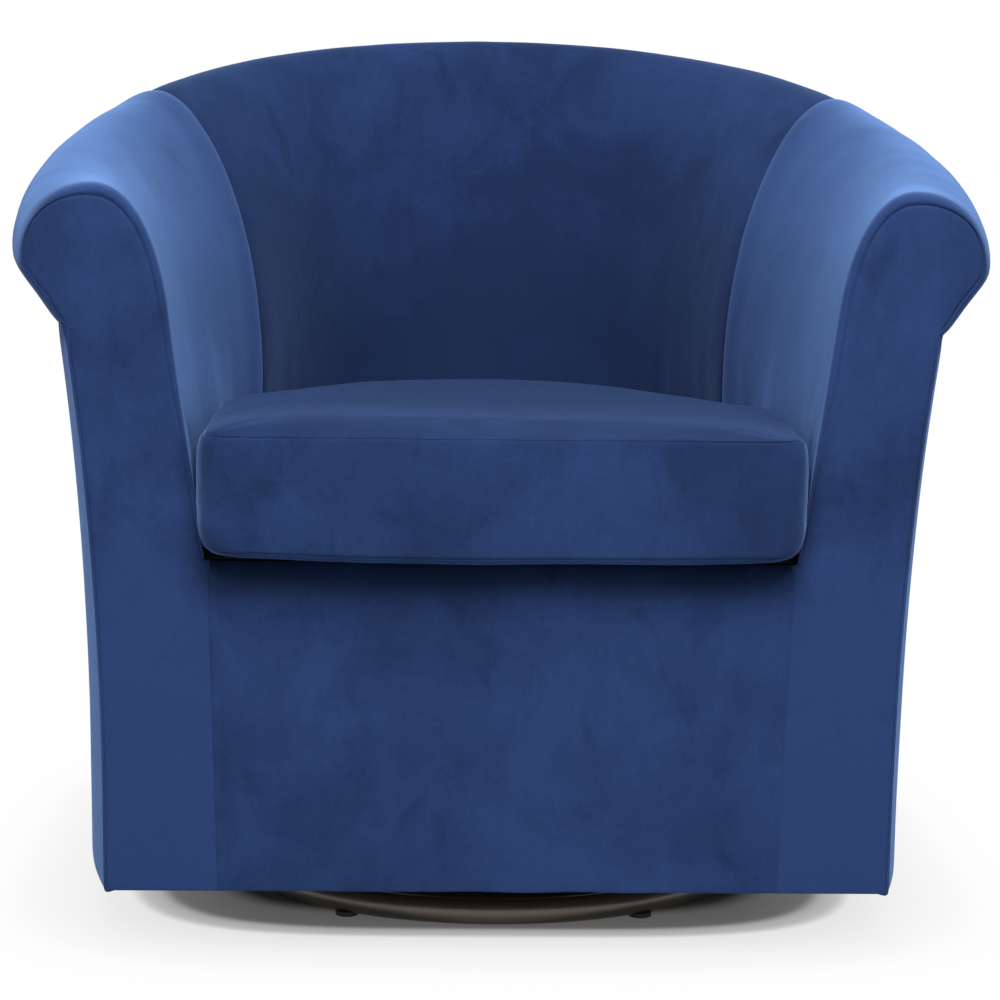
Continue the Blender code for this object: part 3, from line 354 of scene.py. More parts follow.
class Finish:
    """One procedural material on a Principled shader."""

    def __init__(self, name, **constants):
        self.material = bpy.data.materials.new(name)
        self.material.use_nodes = True
        self.tree = self.material.node_tree
        self.shader = self.tree.nodes["Principled BSDF"]
        for socket, value in constants.items():
            self.shader.inputs[socket.replace("_", " ")].default_value = value
        self.place = self.node("ShaderNodeTexCoord").outputs["Object"]

    def node(self, kind, settings=None, sockets=None):
        """Any node, with its settings made first and then its sockets' values or links."""
        made = self.tree.nodes.new(kind)
        for setting, value in (settings or {}).items():
            if setting == "stops":
                self.ramp(made.color_ramp, value)
            else:
                setattr(made, setting, value)
        for socket, value in (sockets or {}).items():
            self.feed(made.inputs[socket], value)
        return made

    def ramp(self, ramp, stops):
        for stop, (position, value) in enumerate(stops):
            if stop >= len(ramp.elements):
                ramp.elements.new(position)
            ramp.elements[stop].position = position
            ramp.elements[stop].color = (value, value, value, 1.0)

    def feed(self, socket, value):
        """Link a socket or set its value."""
        value = getattr(value, "socket", value)
        if isinstance(value, bpy.types.NodeSocket):
            self.tree.links.new(value, socket)
        else:
            socket.default_value = value

    def stretched(self, stretch):
        """The piece's own coordinates, stretched."""
        return self.node("ShaderNodeMapping", {}, {"Vector": self.place, "Scale": stretch}).outputs["Vector"]

    def noise(self, scale, detail=2.0, rough=0.5, stretch=None, distortion=0.0):
        """Noise from 0 to 1 over the surface, scale in features to the metre."""
        where = self.stretched(stretch) if stretch else self.place
        made = self.node("ShaderNodeTexNoise", {}, {"Vector": where, "Scale": scale, "Detail": detail,
                                                    "Roughness": rough, "Distortion": distortion})
        return Number(self, made.outputs["Fac"])

    def steps(self, value, *stops):
        """A number read through a ramp of (position, value) stops."""
        made = self.node("ShaderNodeValToRGB", {"stops": stops}, {"Fac": value})
        return Number(self, made.outputs["Color"])

    def mix(self, share, first, second):
        """A colour between two others."""
        made = self.node("ShaderNodeMix", {"data_type": "RGBA"}, {0: share, 6: first, 7: second})
        return made.outputs[2]

    def bump(self, height, distance, strength=1.0, below=None):
        """A surface normal from a height."""
        sockets = {"Height": height, "Distance": distance, "Strength": strength}
        if below is not None:
            sockets["Normal"] = below
        return self.node("ShaderNodeBump", {}, sockets).outputs["Normal"]

    def mixed(self, share, other):
        """Show a share of another shader."""
        both = self.node("ShaderNodeMixShader", {}, {0: share, 1: self.shader.outputs[0], 2: other})
        self.tree.links.new(both.outputs[0], self.tree.nodes["Material Output"].inputs["Surface"])
        return self.material

    def set(self, **sockets):
        """Feed the shader's own sockets."""
        for socket, value in sockets.items():
            self.feed(self.shader.inputs[socket.replace("_", " ")], value)
        return self.material


def colour(values, lighter=1.0):
    """A colour with alpha, lightened or darkened."""
    return (*(value * lighter for value in values), 1.0)


PILE_GLOSS = 0.05


def velvet_finish(looks):
    """Short cut pile: brushed patches, smudges and a fine grain; painted light and shade from the nap
    attribute; and a painted sheen, a lighter copy mixed in where it is seen aslant.
    """
    finish = Finish("cut_velvet", Roughness=0.85, Sheen_Weight=looks.sheen, Sheen_Roughness=0.42,
                    Sheen_Tint=colour(looks.sheen_tint), Specular_IOR_Level=PILE_GLOSS)
    patches = finish.steps(finish.noise(8.0, 4.0, 0.6, distortion=0.5), (0.36, 0.0), (0.62, 1.0))
    smudges = finish.steps(finish.noise(21.0, 3.0, 0.55, (1.0, 1.0, 0.6), 0.7), (0.56, 0.0), (0.74, 1.0))
    streaks = finish.noise(70.0, 2.0, 0.5, (1.0, 1.0, 0.1))
    mottle = finish.noise(200.0, 3.0, 0.6)
    grain = finish.noise(600.0, 2.0, 0.7)
    broad = finish.noise(3.4, 1.0)
    # The nap attribute: the pile's lean, and also painted light low on the facings and painted shade under and
    # beside the cushion and low on the back.
    lie = Number(finish, finish.node("ShaderNodeAttribute", {"attribute_name": "nap"}).outputs["Fac"])
    fine = grain * 0.50 + mottle * 0.50 - 0.39
    # The attribute lightens or darkens the tone here, so this mix carries real nap and the painted light and
    # shade.
    brushed = patches * 0.62 + streaks * 0.30 + fine + (broad - 0.5) * 0.9 - smudges * 0.42 + lie * 0.5
    base = finish.mix(brushed, colour(looks.velvet, looks.nap_dark), colour(looks.velvet, looks.nap_light))
    # Painted shade: the deep colour where the attribute is low, under and beside the cushion and low on the
    # back, and also on the cushion's top.
    down = finish.steps(lie * -0.5, (0.25, 0.0), (1.0, 1.0))
    base = finish.mix(down, base, colour(looks.velvet, looks.nap_deep_and_shade))
    pile = finish.bump(grain + finish.noise(320.0, 2.0) * 0.7, 0.0005, 0.35)
    normal = finish.bump(patches, 0.002, 0.3, pile)
    # Painted sheen: a much lighter copy of the velvet, shown where the surface is seen aslant.
    side = finish.node("ShaderNodeBsdfPrincipled", {}, {
        "Base Color": colour(looks.painted_sheen_colour), "Roughness": 0.9,
        "Specular IOR Level": PILE_GLOSS, "Normal": normal})
    facing = Number(finish, finish.node("ShaderNodeLayerWeight", {}, {"Blend": 0.5}).outputs["Facing"])
    up = finish.steps(lie, (0.0, 0.0), (1.0, 1.0))
    # Share of the painted sheen: more aslant and where the attribute is high, plus a narrow painted light rim.
    aslant = facing ** looks.painted_sheen_power * up * (0.89 + brushed * 0.25)
    aslant = aslant + facing ** looks.rim_power * (lie * 0.2 + 0.25)
    finish.set(Base_Color=base, Normal=normal, Roughness=0.78 + patches * 0.12)
    return finish.mixed(aslant, side.outputs[0])


def wood_finish(name, tone, dark, rings, along):
    """Sawn boards with grain along one axis."""
    finish = Finish(name, Roughness=0.6)
    squeeze = [0.06 if axis == along else 1.0 for axis in range(3)]
    grain = finish.noise(rings, 4.0, 0.6, squeeze, 1.5)
    pores = finish.noise(700.0, 2.0, 0.5, [0.03 if axis == along else 1.0 for axis in range(3)])
    veins = finish.steps(grain, (0.35, 0.0), (0.6, 1.0))
    base = finish.mix(veins * 0.8 + pores * 0.2, colour(dark), colour(tone))
    return finish.set(Base_Color=base, Normal=finish.bump(pores, 0.0003, 0.4), Roughness=0.75 - veins * 0.2)


def metal_finish(name, tone, rough, grain_scale, metallic=1.0, coat=0.0):
    """Metal with a fine uneven surface."""
    finish = Finish(name, Metallic=metallic, Coat_Weight=coat, Coat_Roughness=0.2)
    cloud = finish.noise(18.0, 3.0, 0.6)
    grain = finish.noise(grain_scale, 2.0, 0.6)
    base = finish.mix(cloud * 0.7 + grain * 0.3, colour(tone, 0.8), colour(tone, 1.2))
    return finish.set(Base_Color=base, Normal=finish.bump(grain, 0.0002, 0.25),
                      Roughness=rough + cloud * 0.1 - 0.05)


def woven_finish(name, tone, threads, rough=0.9):
    """Plain woven cloth or strap."""
    finish = Finish(name, Roughness=rough)
    waves = [finish.node("ShaderNodeTexWave", {"wave_type": "BANDS", "bands_direction": way},
                         {"Vector": finish.place, "Scale": threads, "Distortion": 0.4}) for way in "XY"]
    weave = Number(finish, waves[0].outputs["Fac"]) * Number(finish, waves[1].outputs["Fac"])
    dust = finish.noise(30.0, 3.0)
    base = finish.mix(weave * 0.7 + dust * 0.3, colour(tone, 0.6), colour(tone, 1.25))
    return finish.set(Base_Color=base, Normal=finish.bump(weave, 0.0004, 0.5))


def plastic_finish():
    """Moulded black plastic of the glides."""
    finish = Finish("glide_plastic", Roughness=0.5)
    grain = finish.noise(1200.0, 2.0, 0.6)
    base = finish.mix(grain, colour((0.016, 0.016, 0.017)), colour((0.030, 0.030, 0.031)))
    return finish.set(Base_Color=base, Normal=finish.bump(grain, 0.0001, 0.3), Roughness=0.45 + grain * 0.15)


def once(name, make, *values):
    """A material by name, made the first time that it is asked for."""
    return bpy.data.materials.get(name) or make(*values)


def base_steel(looks):
    """Bronze paint of the ring and its cross bars."""
    return once("bronze_paint", metal_finish, "bronze_paint", looks.steel, 0.36, 500.0, 0.35, 0.25)


# Sizes and colours that a user would change

class ChairLooks(bpy.types.PropertyGroup):
    """Colours and cloth."""

    velvet: FloatVectorProperty(name="Velvet", description="Colour of the velvet", subtype="COLOR",
                                size=3, default=(0.0250, 0.0520, 0.160))
    sheen_tint: FloatVectorProperty(name="Sheen", description="Colour of the pile seen from the side",
                                    subtype="COLOR", size=3, default=(0.30, 0.50, 1.0))
    # Painted sheen: the colour of the lighter copy shown aslant, how fast it shows, and its narrow light rim.
    painted_sheen_colour: FloatVectorProperty(name="Pile Side", description="Colour of the pile's sides, seen aslant",
                                   subtype="COLOR", size=3, default=(0.19, 0.36, 0.78))
    painted_sheen_power: FloatProperty(name="Pile Falloff", description="How fast the pile's sides show aslant",
                              default=3.0, min=0.5)
    rim_power: FloatProperty(name="Rim Falloff", description="How narrow the light rim of the cloth is",
                             default=9.0, min=0.5)
    sheen: FloatProperty(name="Sheen Strength", description="Brightness of the pile seen from the side",
                         default=0.6, min=0.0, max=1.0)
    nap_dark: FloatProperty(name="Dark Nap", description="Velvet brushed away from the eye",
                            default=0.70, min=0.0)
    # The deep colour also paints shade under and beside the cushion and low on the back.
    nap_deep_and_shade: FloatProperty(name="Deep Nap", description="Velvet brushed down, as low on the back",
                            default=0.40, min=0.0)
    nap_light: FloatProperty(name="Light Nap", description="Velvet brushed towards the eye",
                             default=1.28, min=0.0)
    steel: FloatVectorProperty(name="Base Steel", description="Colour of the painted base", subtype="COLOR",
                               size=3, default=(0.150, 0.128, 0.108))


class ChairSizes(bpy.types.PropertyGroup):
    """Sizes of the cloth work."""

    lip: FloatProperty(name="Arm Front Lip", description="Arm cover that turns over the arm front",
                       unit="LENGTH", default=0.0115)
    edge_round: FloatProperty(name="Edge Round", description="Depth of the rounded front edge of the arm",
                              unit="LENGTH", default=0.020)
    outside_lip: FloatProperty(name="Outside Lip", description="Outside cover that turns over the arm",
                               unit="LENGTH", default=0.0018)
    spacing: FloatProperty(name="Spacing", description="Distance between rows of a cover", unit="LENGTH",
                           default=0.011)
    swell: FloatProperty(name="Swell", description="Height of the low swells in the padding", unit="LENGTH",
                         default=0.0011)
    crown: FloatProperty(name="Cushion Crown", description="Rise of the cushion's middle over its seams",
                         unit="LENGTH", default=0.006)


class ChairStage(bpy.types.PropertyGroup):
    """Floor, light and camera."""

    focal: FloatProperty(name="Focal Length", description="Camera lens", default=92.34, min=1.0)
    distance: FloatProperty(name="Distance", description="Camera in front of the arm fronts", unit="LENGTH",
                            default=2.2)
    height: FloatProperty(name="Eye Height", description="Camera over the floor", unit="LENGTH",
                          default=0.7247)
    top_light: FloatProperty(name="Top Light", description="Power of the large lamp overhead", default=100.0,
                             min=0.0)
    front_light: FloatProperty(name="Front Light", description="Power of the soft lamp in front", default=1.0,
                               min=0.0)
    fill_light: FloatProperty(name="Fill Light", description="Power of each lamp at the sides and behind",
                              default=13.0, min=0.0)
    world: FloatProperty(name="Surround", description="Strength of the white surround", default=0.08, min=0.0)


# Seams: distance from the seam in metres and depth in millimetres

FULL_SEAM = ((0.0004, 5.0), (0.0006, 2.4), (0.0012, 0.9), (0.0024, -0.2), (0.0045, -1.1), (0.0080, -1.7),
             (0.0130, -1.8), (0.0200, -1.3), (0.0300, -0.6), (0.0420, 0.0))
LOW_SEAM = ((0.0004, 5.0), (0.0006, 3.3), (0.0012, 2.5), (0.0026, 2.0), (0.0060, 1.4), (0.0120, 0.8),
            (0.0220, 0.3), (0.0360, 0.0))
FLAT_SEAM = ((0.0004, 4.0), (0.0006, 1.8), (0.0012, 0.7), (0.0026, 0.2), (0.0060, 0.0))


def seam_rows(seam, side, profile):
    """Places and depths of a cover beside a seam, on its side after (1) or before (-1) the seam."""
    rows = [(seam + side * along, drop * 0.001) for along, drop in profile]
    return rows if side > 0 else rows[::-1]


def pucker(place, seam, along, height):
    """Small gathers that fade away from a seam."""
    fade = math.exp(-abs(place - seam) / 0.016)
    return height * fade * noise.noise(Vector((along / 0.014, seam * 10, place * 8)))


def front_lip(depth, count=9):
    """Depths and width shares of a cover that turns over the arm's front to the facing's seam."""
    rows = [(0.0045, 1.05), (0.0018, 1.02)]
    start = math.radians(-28)
    for step in range(count):
        angle = blend(start, math.pi / 2, step / count)
        share = (math.sin(angle) - math.sin(start)) / (1 - math.sin(start))
        rows.append((depth * (1 - math.cos(angle)), 1 - share))
    return rows


# Share of the lip's width at points of the arm's section line
LIP_SHARES = ((0.0, 0.20), (6.0, 0.52), (9.0, 0.86), (12.0, 0.95), (22.0, 0.97), (28.0, 1.08),
              (32.0, 1.05), (35.0, 0.76), (38.5, 0.36), (41.0, 0.34), (43.5, 0.46), (48.0, 0.52),
              (52.0, 0.34), (54.0, 0.26))


def lip_share(line):
    """Width of the front lip along an inner line: full over the shoulder, narrow at the seat and outside."""
    places, shares = zip(*LIP_SHARES)
    return np.interp(np.arange(len(line)), places, shares)


def back_rows(section, seam, profile, spacing):
    """Lines of a back cover from its right seam round to its left one."""
    beside = seam_rows(seam, 1, profile)
    half = beside + [(place, 0.0) for place in steps(beside[-1][0], WALL_LENGTH, spacing)[1:]]
    rows = [in_space(place, 1, section(place, 1, drop)) for place, drop in half]
    return rows + [in_space(place, -1, section(place, -1, drop)) for place, drop in half[-2::-1]]


# Operators

# Height of the pulls over the roll and of the folds over the seat, and the folds' strongest place
ROLL_PULL, SEAT_FOLD, FOLDS_AT = 0.0007, 0.0011, 0.68

# The arm's padding bulges beside the cushion, on the section's first points
BULGE, BULGE_POINTS = 0.011, 24


class CHAIR_OT_inside_covers(bpy.types.Operator):
    """Padded covers inside the arms and the back"""

    bl_idname = "club_chair.inside_covers"
    bl_label = "Inside Covers"

    def execute(self, context):
        sizes = context.scene.chair_sizes
        velvet = once("cut_velvet", velvet_finish, context.scene.chair_looks)
        swell = (sizes.swell, 0.16)
        for word, side in (("right", 1), ("left", -1)):
            rows = self.arm_rows(sizes, side)
            cover(f"arm_cover_{word}", rows, lambda centre: Vector((-side, 0, 0.6)), velvet,
                  (f"inside_arm_cover_{word}", f"arm_foam_{word}"), swell, self.arm_nap_and_shade)
        rows = back_rows(self.section, INSIDE_SEAM, LOW_SEAM, sizes.spacing)
        # The back's pile is darker towards the bottom: painted shade from the cushion and the arms.
        cover("back_cover", rows, lambda centre: Vector((0, -1, 0.6)), velvet,
              ("inside_back_cover", "inside_back_foam"), swell,
              lambda place: blend(-1.25, -0.5, ease((place.z - 0.48) / 0.26)))
        return {"FINISHED"}

    def arm_nap_and_shade(self, place):
        """Painted sheen is most on the roll, less at the front, outer side, low at the back and seam; painted
        shade beside the cushion.
        """
        behind = ease((place.y - FRONT_Y - 0.001) / 0.045)
        outer = ease((abs(place.x) - 0.33) / 0.09) * ease((-0.08 - place.y) / 0.25)
        low = ease((place.y + 0.20) / 0.28) * ease((0.66 - place.z) / 0.10)
        seam_x, seam_y, out_x, out_y = wall_frame(INSIDE_SEAM)
        before = (abs(place.x) - seam_x) * out_y - (place.y - seam_y) * out_x
        lean = 0.35 + 0.65 * behind - 0.35 * outer - 0.35 * low
        # Painted shade of the cushion on the arm's front beside it.
        painted_cushion_shade = (1 - ease((place.y - FRONT_Y) / 0.025)) * ease((0.47 - place.z) / 0.03)
        return blend(lean, -0.2, max(1 - ease(before / 0.009), painted_cushion_shade))

    def section(self, place, side, drop):
        """One line of a cover, with gathers at its seam, pulls over the roll and folds above the seat."""
        line = inner_line(place)
        along = place * side
        drops = []
        for index, (out, height) in enumerate(line):
            gathers = pucker(place, INSIDE_SEAM, height + out + side, 0.0008)
            pull = noise.noise(Vector((along / 0.035 + index * 0.16, index * 0.07, 3.0 + side)))
            over_roll = math.exp(-((index - TOP_POINT) / 8.0) ** 2) * (1.0 if place < INSIDE_SEAM else 0.5)
            low = math.exp(-(height - DECK_TOP - 0.100) / 0.045) if height > DECK_TOP + 0.100 else 1.0
            low *= 1.0 + 1.5 * math.exp(-((along - FOLDS_AT) / 0.07) ** 2)
            folds = low * noise.noise(Vector((along / 0.021, height * 3.0, 7.0)))
            beside = ease(place / 0.08) * (1 - ease((place - 0.30) / 0.10))
            bulge = BULGE * beside * math.exp(-((height - 0.445) / 0.06) ** 2) * (index < BULGE_POINTS)
            drops.append(drop - gathers - ROLL_PULL * over_roll * pull - SEAT_FOLD * folds - bulge)
        return drawn_in(line, drops)

    def arm_rows(self, sizes, side):
        shares = lip_share(inner_line(0.0)) * sizes.lip
        rows = [in_space(place, side, drawn_in(inner_line(place), shares * share))
                for place, share in front_lip(sizes.edge_round)]
        for row in rows:
            for point, back in zip(row[-2:], (0.006, 0.012)):
                point.y += back
        seam = seam_rows(INSIDE_SEAM, -1, FULL_SEAM)
        plain = steps(sizes.edge_round, seam[0][0], sizes.spacing)[:-1]
        for place, drop in [(place, 0.0) for place in plain] + seam:
            rows.append(in_space(place, side, self.section(place, side, drop)))
        return rows


# The hem turns in under the skirt: inward and up. At the arm's front its last points lie further back
HEM = ((0.0004, 0.0007), (0.0014, 0.0), (0.0040, 0.0002), (0.0130, 0.0012))
HEM_BACK = (0.001, 0.005, 0.010)
OUTSIDE_EDGE = 0.006


class CHAIR_OT_outside_covers(bpy.types.Operator):
    """Tight covers round the outside, with a turned hem"""

    bl_idname = "club_chair.outside_covers"
    bl_label = "Outside Covers"

    def execute(self, context):
        sizes = context.scene.chair_sizes
        velvet = once("cut_velvet", velvet_finish, context.scene.chair_looks)
        swell = (sizes.swell * 0.6, 0.19, 3.0)
        for word, side in (("right", 1), ("left", -1)):
            rows = self.arm_rows(sizes, side)
            cover(f"outer_arm_{word}", rows, lambda centre: Vector((side, 0, 0)), velvet,
                  (f"outside_arm_cover_{word}",), swell)
        rows = back_rows(self.section, OUTSIDE_SEAM, FLAT_SEAM, sizes.spacing * 1.3)
        cover("outer_back", rows, lambda centre: Vector((0, 1, 0)), velvet,
              ("outside_back_cover",), swell)
        return {"FINISHED"}

    def section(self, place, side, drop):
        """Line from the tuck under the roll to the hem that turns under the skirt."""
        line = outer_line(place, SKIRT_BOTTOM + 0.0020)
        top, low = line[0], SKIRT_BOTTOM + self.wave(place, side)
        tuck = [(top[0] - 0.0050 - drop, top[1] + 0.0012), (top[0] - 0.0012 - drop, top[1] + 0.0004)]
        gathers = [pucker(place, OUTSIDE_SEAM, height, 0.0005) for _, height in line[1:]]
        body = drawn_in(line[1:], [drop - gather for gather in gathers])
        return tuck + body + [(-inward - drop, low + rise) for inward, rise in HEM]

    def wave(self, place, side):
        """The hem isn't quite level."""
        return 0.0007 * noise.noise(Vector((place / 0.045, side * 2.0, 5.0)))

    def arm_rows(self, sizes, side):
        seam = seam_rows(OUTSIDE_SEAM, -1, FLAT_SEAM)
        lip = [(place, share * sizes.outside_lip) for place, share in front_lip(OUTSIDE_EDGE, 6)]
        plain = [(place, 0.0) for place in steps(OUTSIDE_EDGE, seam[0][0], sizes.spacing * 1.3)[:-1]]
        rows = [in_space(place, side, self.section(place, side, drop)) for place, drop in lip + plain + seam]
        for row in rows[:len(lip)]:
            for point, back in zip(row[-3:], HEM_BACK):
                point.y += back
        return rows


def panel_half(height):
    """Half width of the front panel at a height."""
    return blend(*PANEL_HALF, (height - SKIRT_BOTTOM) / (PANEL_TOP - SKIRT_BOTTOM))


def beyond(outline, along):
    """A closed outline moved outward, but not below the hem."""
    points = np.array(outline)
    ways = np.roll(points, -1, axis=0) - np.roll(points, 1, axis=0)
    ways /= np.hypot(ways[:, 0], ways[:, 1])[:, None]
    after = np.roll(points, -1, axis=0)
    turn = np.sign(np.sum(points[:, 0] * after[:, 1] - points[:, 1] * after[:, 0]))
    moved = points + along * turn * np.stack([ways[:, 1], -ways[:, 0]], axis=1)
    return [(x, max(z, SKIRT_BOTTOM)) for x, z in moved]


# Facings: depth of the tucked edge, strip under the neighbours, and insets as (inward, forward)
FACING_TUCK = 0.0017
TUCKED_STRIP = 0.0022
FACING_RINGS = ((0.0004, 0.0009), (0.0006, 0.0003), (0.0014, 0.0002), (0.003, 0.0001), (0.0045, 0.0001))

# Front panel: edges with a stitch line as (along, drop in millimetres), rounded top, hem as (back, up)
PANEL_EDGE = ((0.0002, 1.5), (0.0005, 1.1), (0.0012, 0.5), (0.0026, 0.1), (0.0050, 0.0), (0.0082, 0.0),
              (0.0090, 0.3), (0.0096, 0.7), (0.0102, 0.3), (0.0110, 0.0))
PANEL_ROUND_DEPTH, PANEL_ROUND_HEIGHT = 0.010, 0.024
PANEL_HEM = ((0.0002, 0.0012), (0.0008, 0.0003), (0.0020, 0.0), (0.0050, 0.0004), (0.0140, 0.001))


def puffed(outline, tuck, rings):
    """An upright cloth panel: a strip tucked under its neighbours, then insets that crown it."""
    bm = bmesh.new()
    verts = [bm.verts.new((x, FRONT_Y + tuck, z)) for x, z in beyond(outline, TUCKED_STRIP)]
    edges = [bm.edges.new(pair) for pair in zip(verts, verts[1:] + verts[:1])]
    verts, edges = extruded(bm, verts, edges, [(x, FRONT_Y + tuck, z) for x, z in outline])
    middle = bmesh.ops.contextual_create(bm, geom=edges)["faces"][0]
    bmesh.ops.recalc_face_normals(bm, faces=bm.faces)
    bm.normal_update()
    if middle.normal.y > 0:
        bmesh.ops.reverse_faces(bm, faces=bm.faces)
    for inward, forward in rings:
        bmesh.ops.inset_region(bm, faces=[middle], thickness=inward, depth=0.0, use_even_offset=True)
        for vert in middle.verts:
            vert.co.y -= forward
    for axis, first, last in ((0, -0.42, 0.42), (2, 0.0, 0.72)):
        for place in steps(first, last, 0.014):
            where, way = [0.0, 0.0, 0.0], [0.0, 0.0, 0.0]
            where[axis], way[axis] = place, 1.0
            bmesh.ops.bisect_plane(bm, geom=bm.verts[:] + bm.edges[:] + bm.faces[:], dist=0.0002,
                                   plane_co=where, plane_no=way)
    tucked = {vert: vert.co.copy() for vert in bm.verts if vert.co.y > FRONT_Y + tuck / 2}
    soften(bm, 0.0007, 0.11, 5.0)
    for vert, place in tucked.items():
        vert.co = place
    return bm


def even(points, spacing):
    """A closed outline with points no further apart than the spacing."""
    result = []
    for here, after in zip(points, points[1:] + points[:1]):
        length = math.hypot(after[0] - here[0], after[1] - here[1])
        count = max(1, math.ceil(length / spacing))
        result += [(blend(here[0], after[0], step / count), blend(here[1], after[1], step / count))
                   for step in range(count)]
    return result


class CHAIR_OT_arm_fronts(bpy.types.Operator):
    """Scroll-shaped facings on the arm fronts, and the front panel between them"""

    bl_idname = "club_chair.arm_fronts"
    bl_label = "Arm Fronts And Front Panel"

    def execute(self, context):
        sizes = context.scene.chair_sizes
        velvet = once("cut_velvet", velvet_finish, context.scene.chair_looks)
        for word, side in (("right", 1), ("left", -1)):
            outline = [(side * x, z) for x, z in self.facing_outline(sizes)]
            bm = puffed(outline, FACING_TUCK, FACING_RINGS)
            piece = new_piece(f"arm_front_{word}", bm, velvet, "seat", (f"arm_facing_{word}",),
                              0.0005, 0, self.facing_nap_light_and_shade)
        bm = swept(self.panel_rows(), lambda centre: Vector((0, -1, 0)))
        # The panel's pile darkens towards its top: painted shadow of the cushion above it.
        piece = new_piece("front_panel", bm, velvet, "seat", ("front_panel_cover",), 0.0015, 1,
                          lambda place: blend(0.15, -1.0, ease((place.z - PANEL_TOP + 0.055) / 0.045)))
        return {"FINISHED"}

    def facing_nap_light_and_shade(self, place):
        """Painted light and shade on the facing: lighter low down, as lit from the floor, and a painted shadow
        beside the cushion.
        """
        beside = abs(place.x) - wall_frame(0.0)[0] - face_at(inner_line(0.0), max(place.z, PANEL_TOP))
        # Painted shadow of the cushion on the facing beside it.
        painted_cushion_shadow = (1 - ease(beside / 0.020)) * ease((place.z - 0.30) / 0.05) * ease((0.475 - place.z) / 0.03)
        return blend(1.35, 0.15, ease((place.z - 0.10) / 0.35)) - 1.1 * painted_cushion_shadow

    def panel_rows(self):
        """Lines of the front panel from its tucked top to its turned hem."""
        width, last = 2 * PANEL_HALF[0], PANEL_EDGE[-1][0]
        columns = list(PANEL_EDGE) + [(along, 0.0) for along in steps(last, width - last, 0.014)[1:-1]]
        columns += [(width - along, drop) for along, drop in PANEL_EDGE[::-1]]
        turn = [math.radians(15 * step) for step in range(6)]
        top = [(PANEL_ROUND_DEPTH * (1 - math.sin(angle)),
                PANEL_TOP - PANEL_ROUND_HEIGHT * (1 - math.cos(angle))) for angle in turn]
        heights = [-height for height in steps(-PANEL_TOP + 0.025, -SKIRT_BOTTOM - 0.004, 0.016)]
        rows = []
        for along, drop in columns:
            share = along / PANEL_HALF[0] - 1
            points = []
            for tuck, height in top + [(0.0, height) for height in heights]:
                swell = 0.0009 * noise.noise(Vector((share * 3.1, height / 0.07, 1.0)))
                depth = FRONT_Y + drop * 0.001 + tuck + swell
                points.append(Vector((share * panel_half(height), depth, height)))
            low = SKIRT_BOTTOM + 0.0009 * noise.noise(Vector((share * 5.2, 0.0, 9.0)))
            for back, rise in PANEL_HEM:
                points.append(Vector((share * panel_half(low), FRONT_Y + drop * 0.001 + back, low + rise)))
            rows.append(points)
        return rows

    def facing_outline(self, sizes):
        x = wall_frame(0.0)[0]
        line = inner_line(0.0)
        end = notch(0.0)[1]
        below = [index for index, (_, height) in enumerate(line) if height < end and index > TOP_POINT]
        line = line[:below[0]] if below else line
        inner = drawn_in(line, lip_share(inner_line(0.0))[:len(line)] * sizes.lip + 0.0004)
        outside = drawn_in(outer_line(0.0), sizes.outside_lip + 0.0003)[1:]
        foot = [(panel_half(height) - 0.0006 - x, height) for height in (SKIRT_BOTTOM, PANEL_TOP)]
        outline = foot + [(inner[0][0], PANEL_TOP)] + inner + outside
        return even([(x + out, height) for out, height in outline], 0.012)


# Blowing up the cushion: frames, and how far a point may move
BLOW_FRAMES, BLOW_CAP = 20, 0.0045

# The cushion's seams, and how it has settled: corners left and right, fall and tilt for each metre
SEAM_DEPTH, SEAM_WIDTH = 0.0028, 0.0006
CORNER_RISE = (0.0050, 0.0035)
TOP_FALL, TOP_TILT = 0.028, 0.014


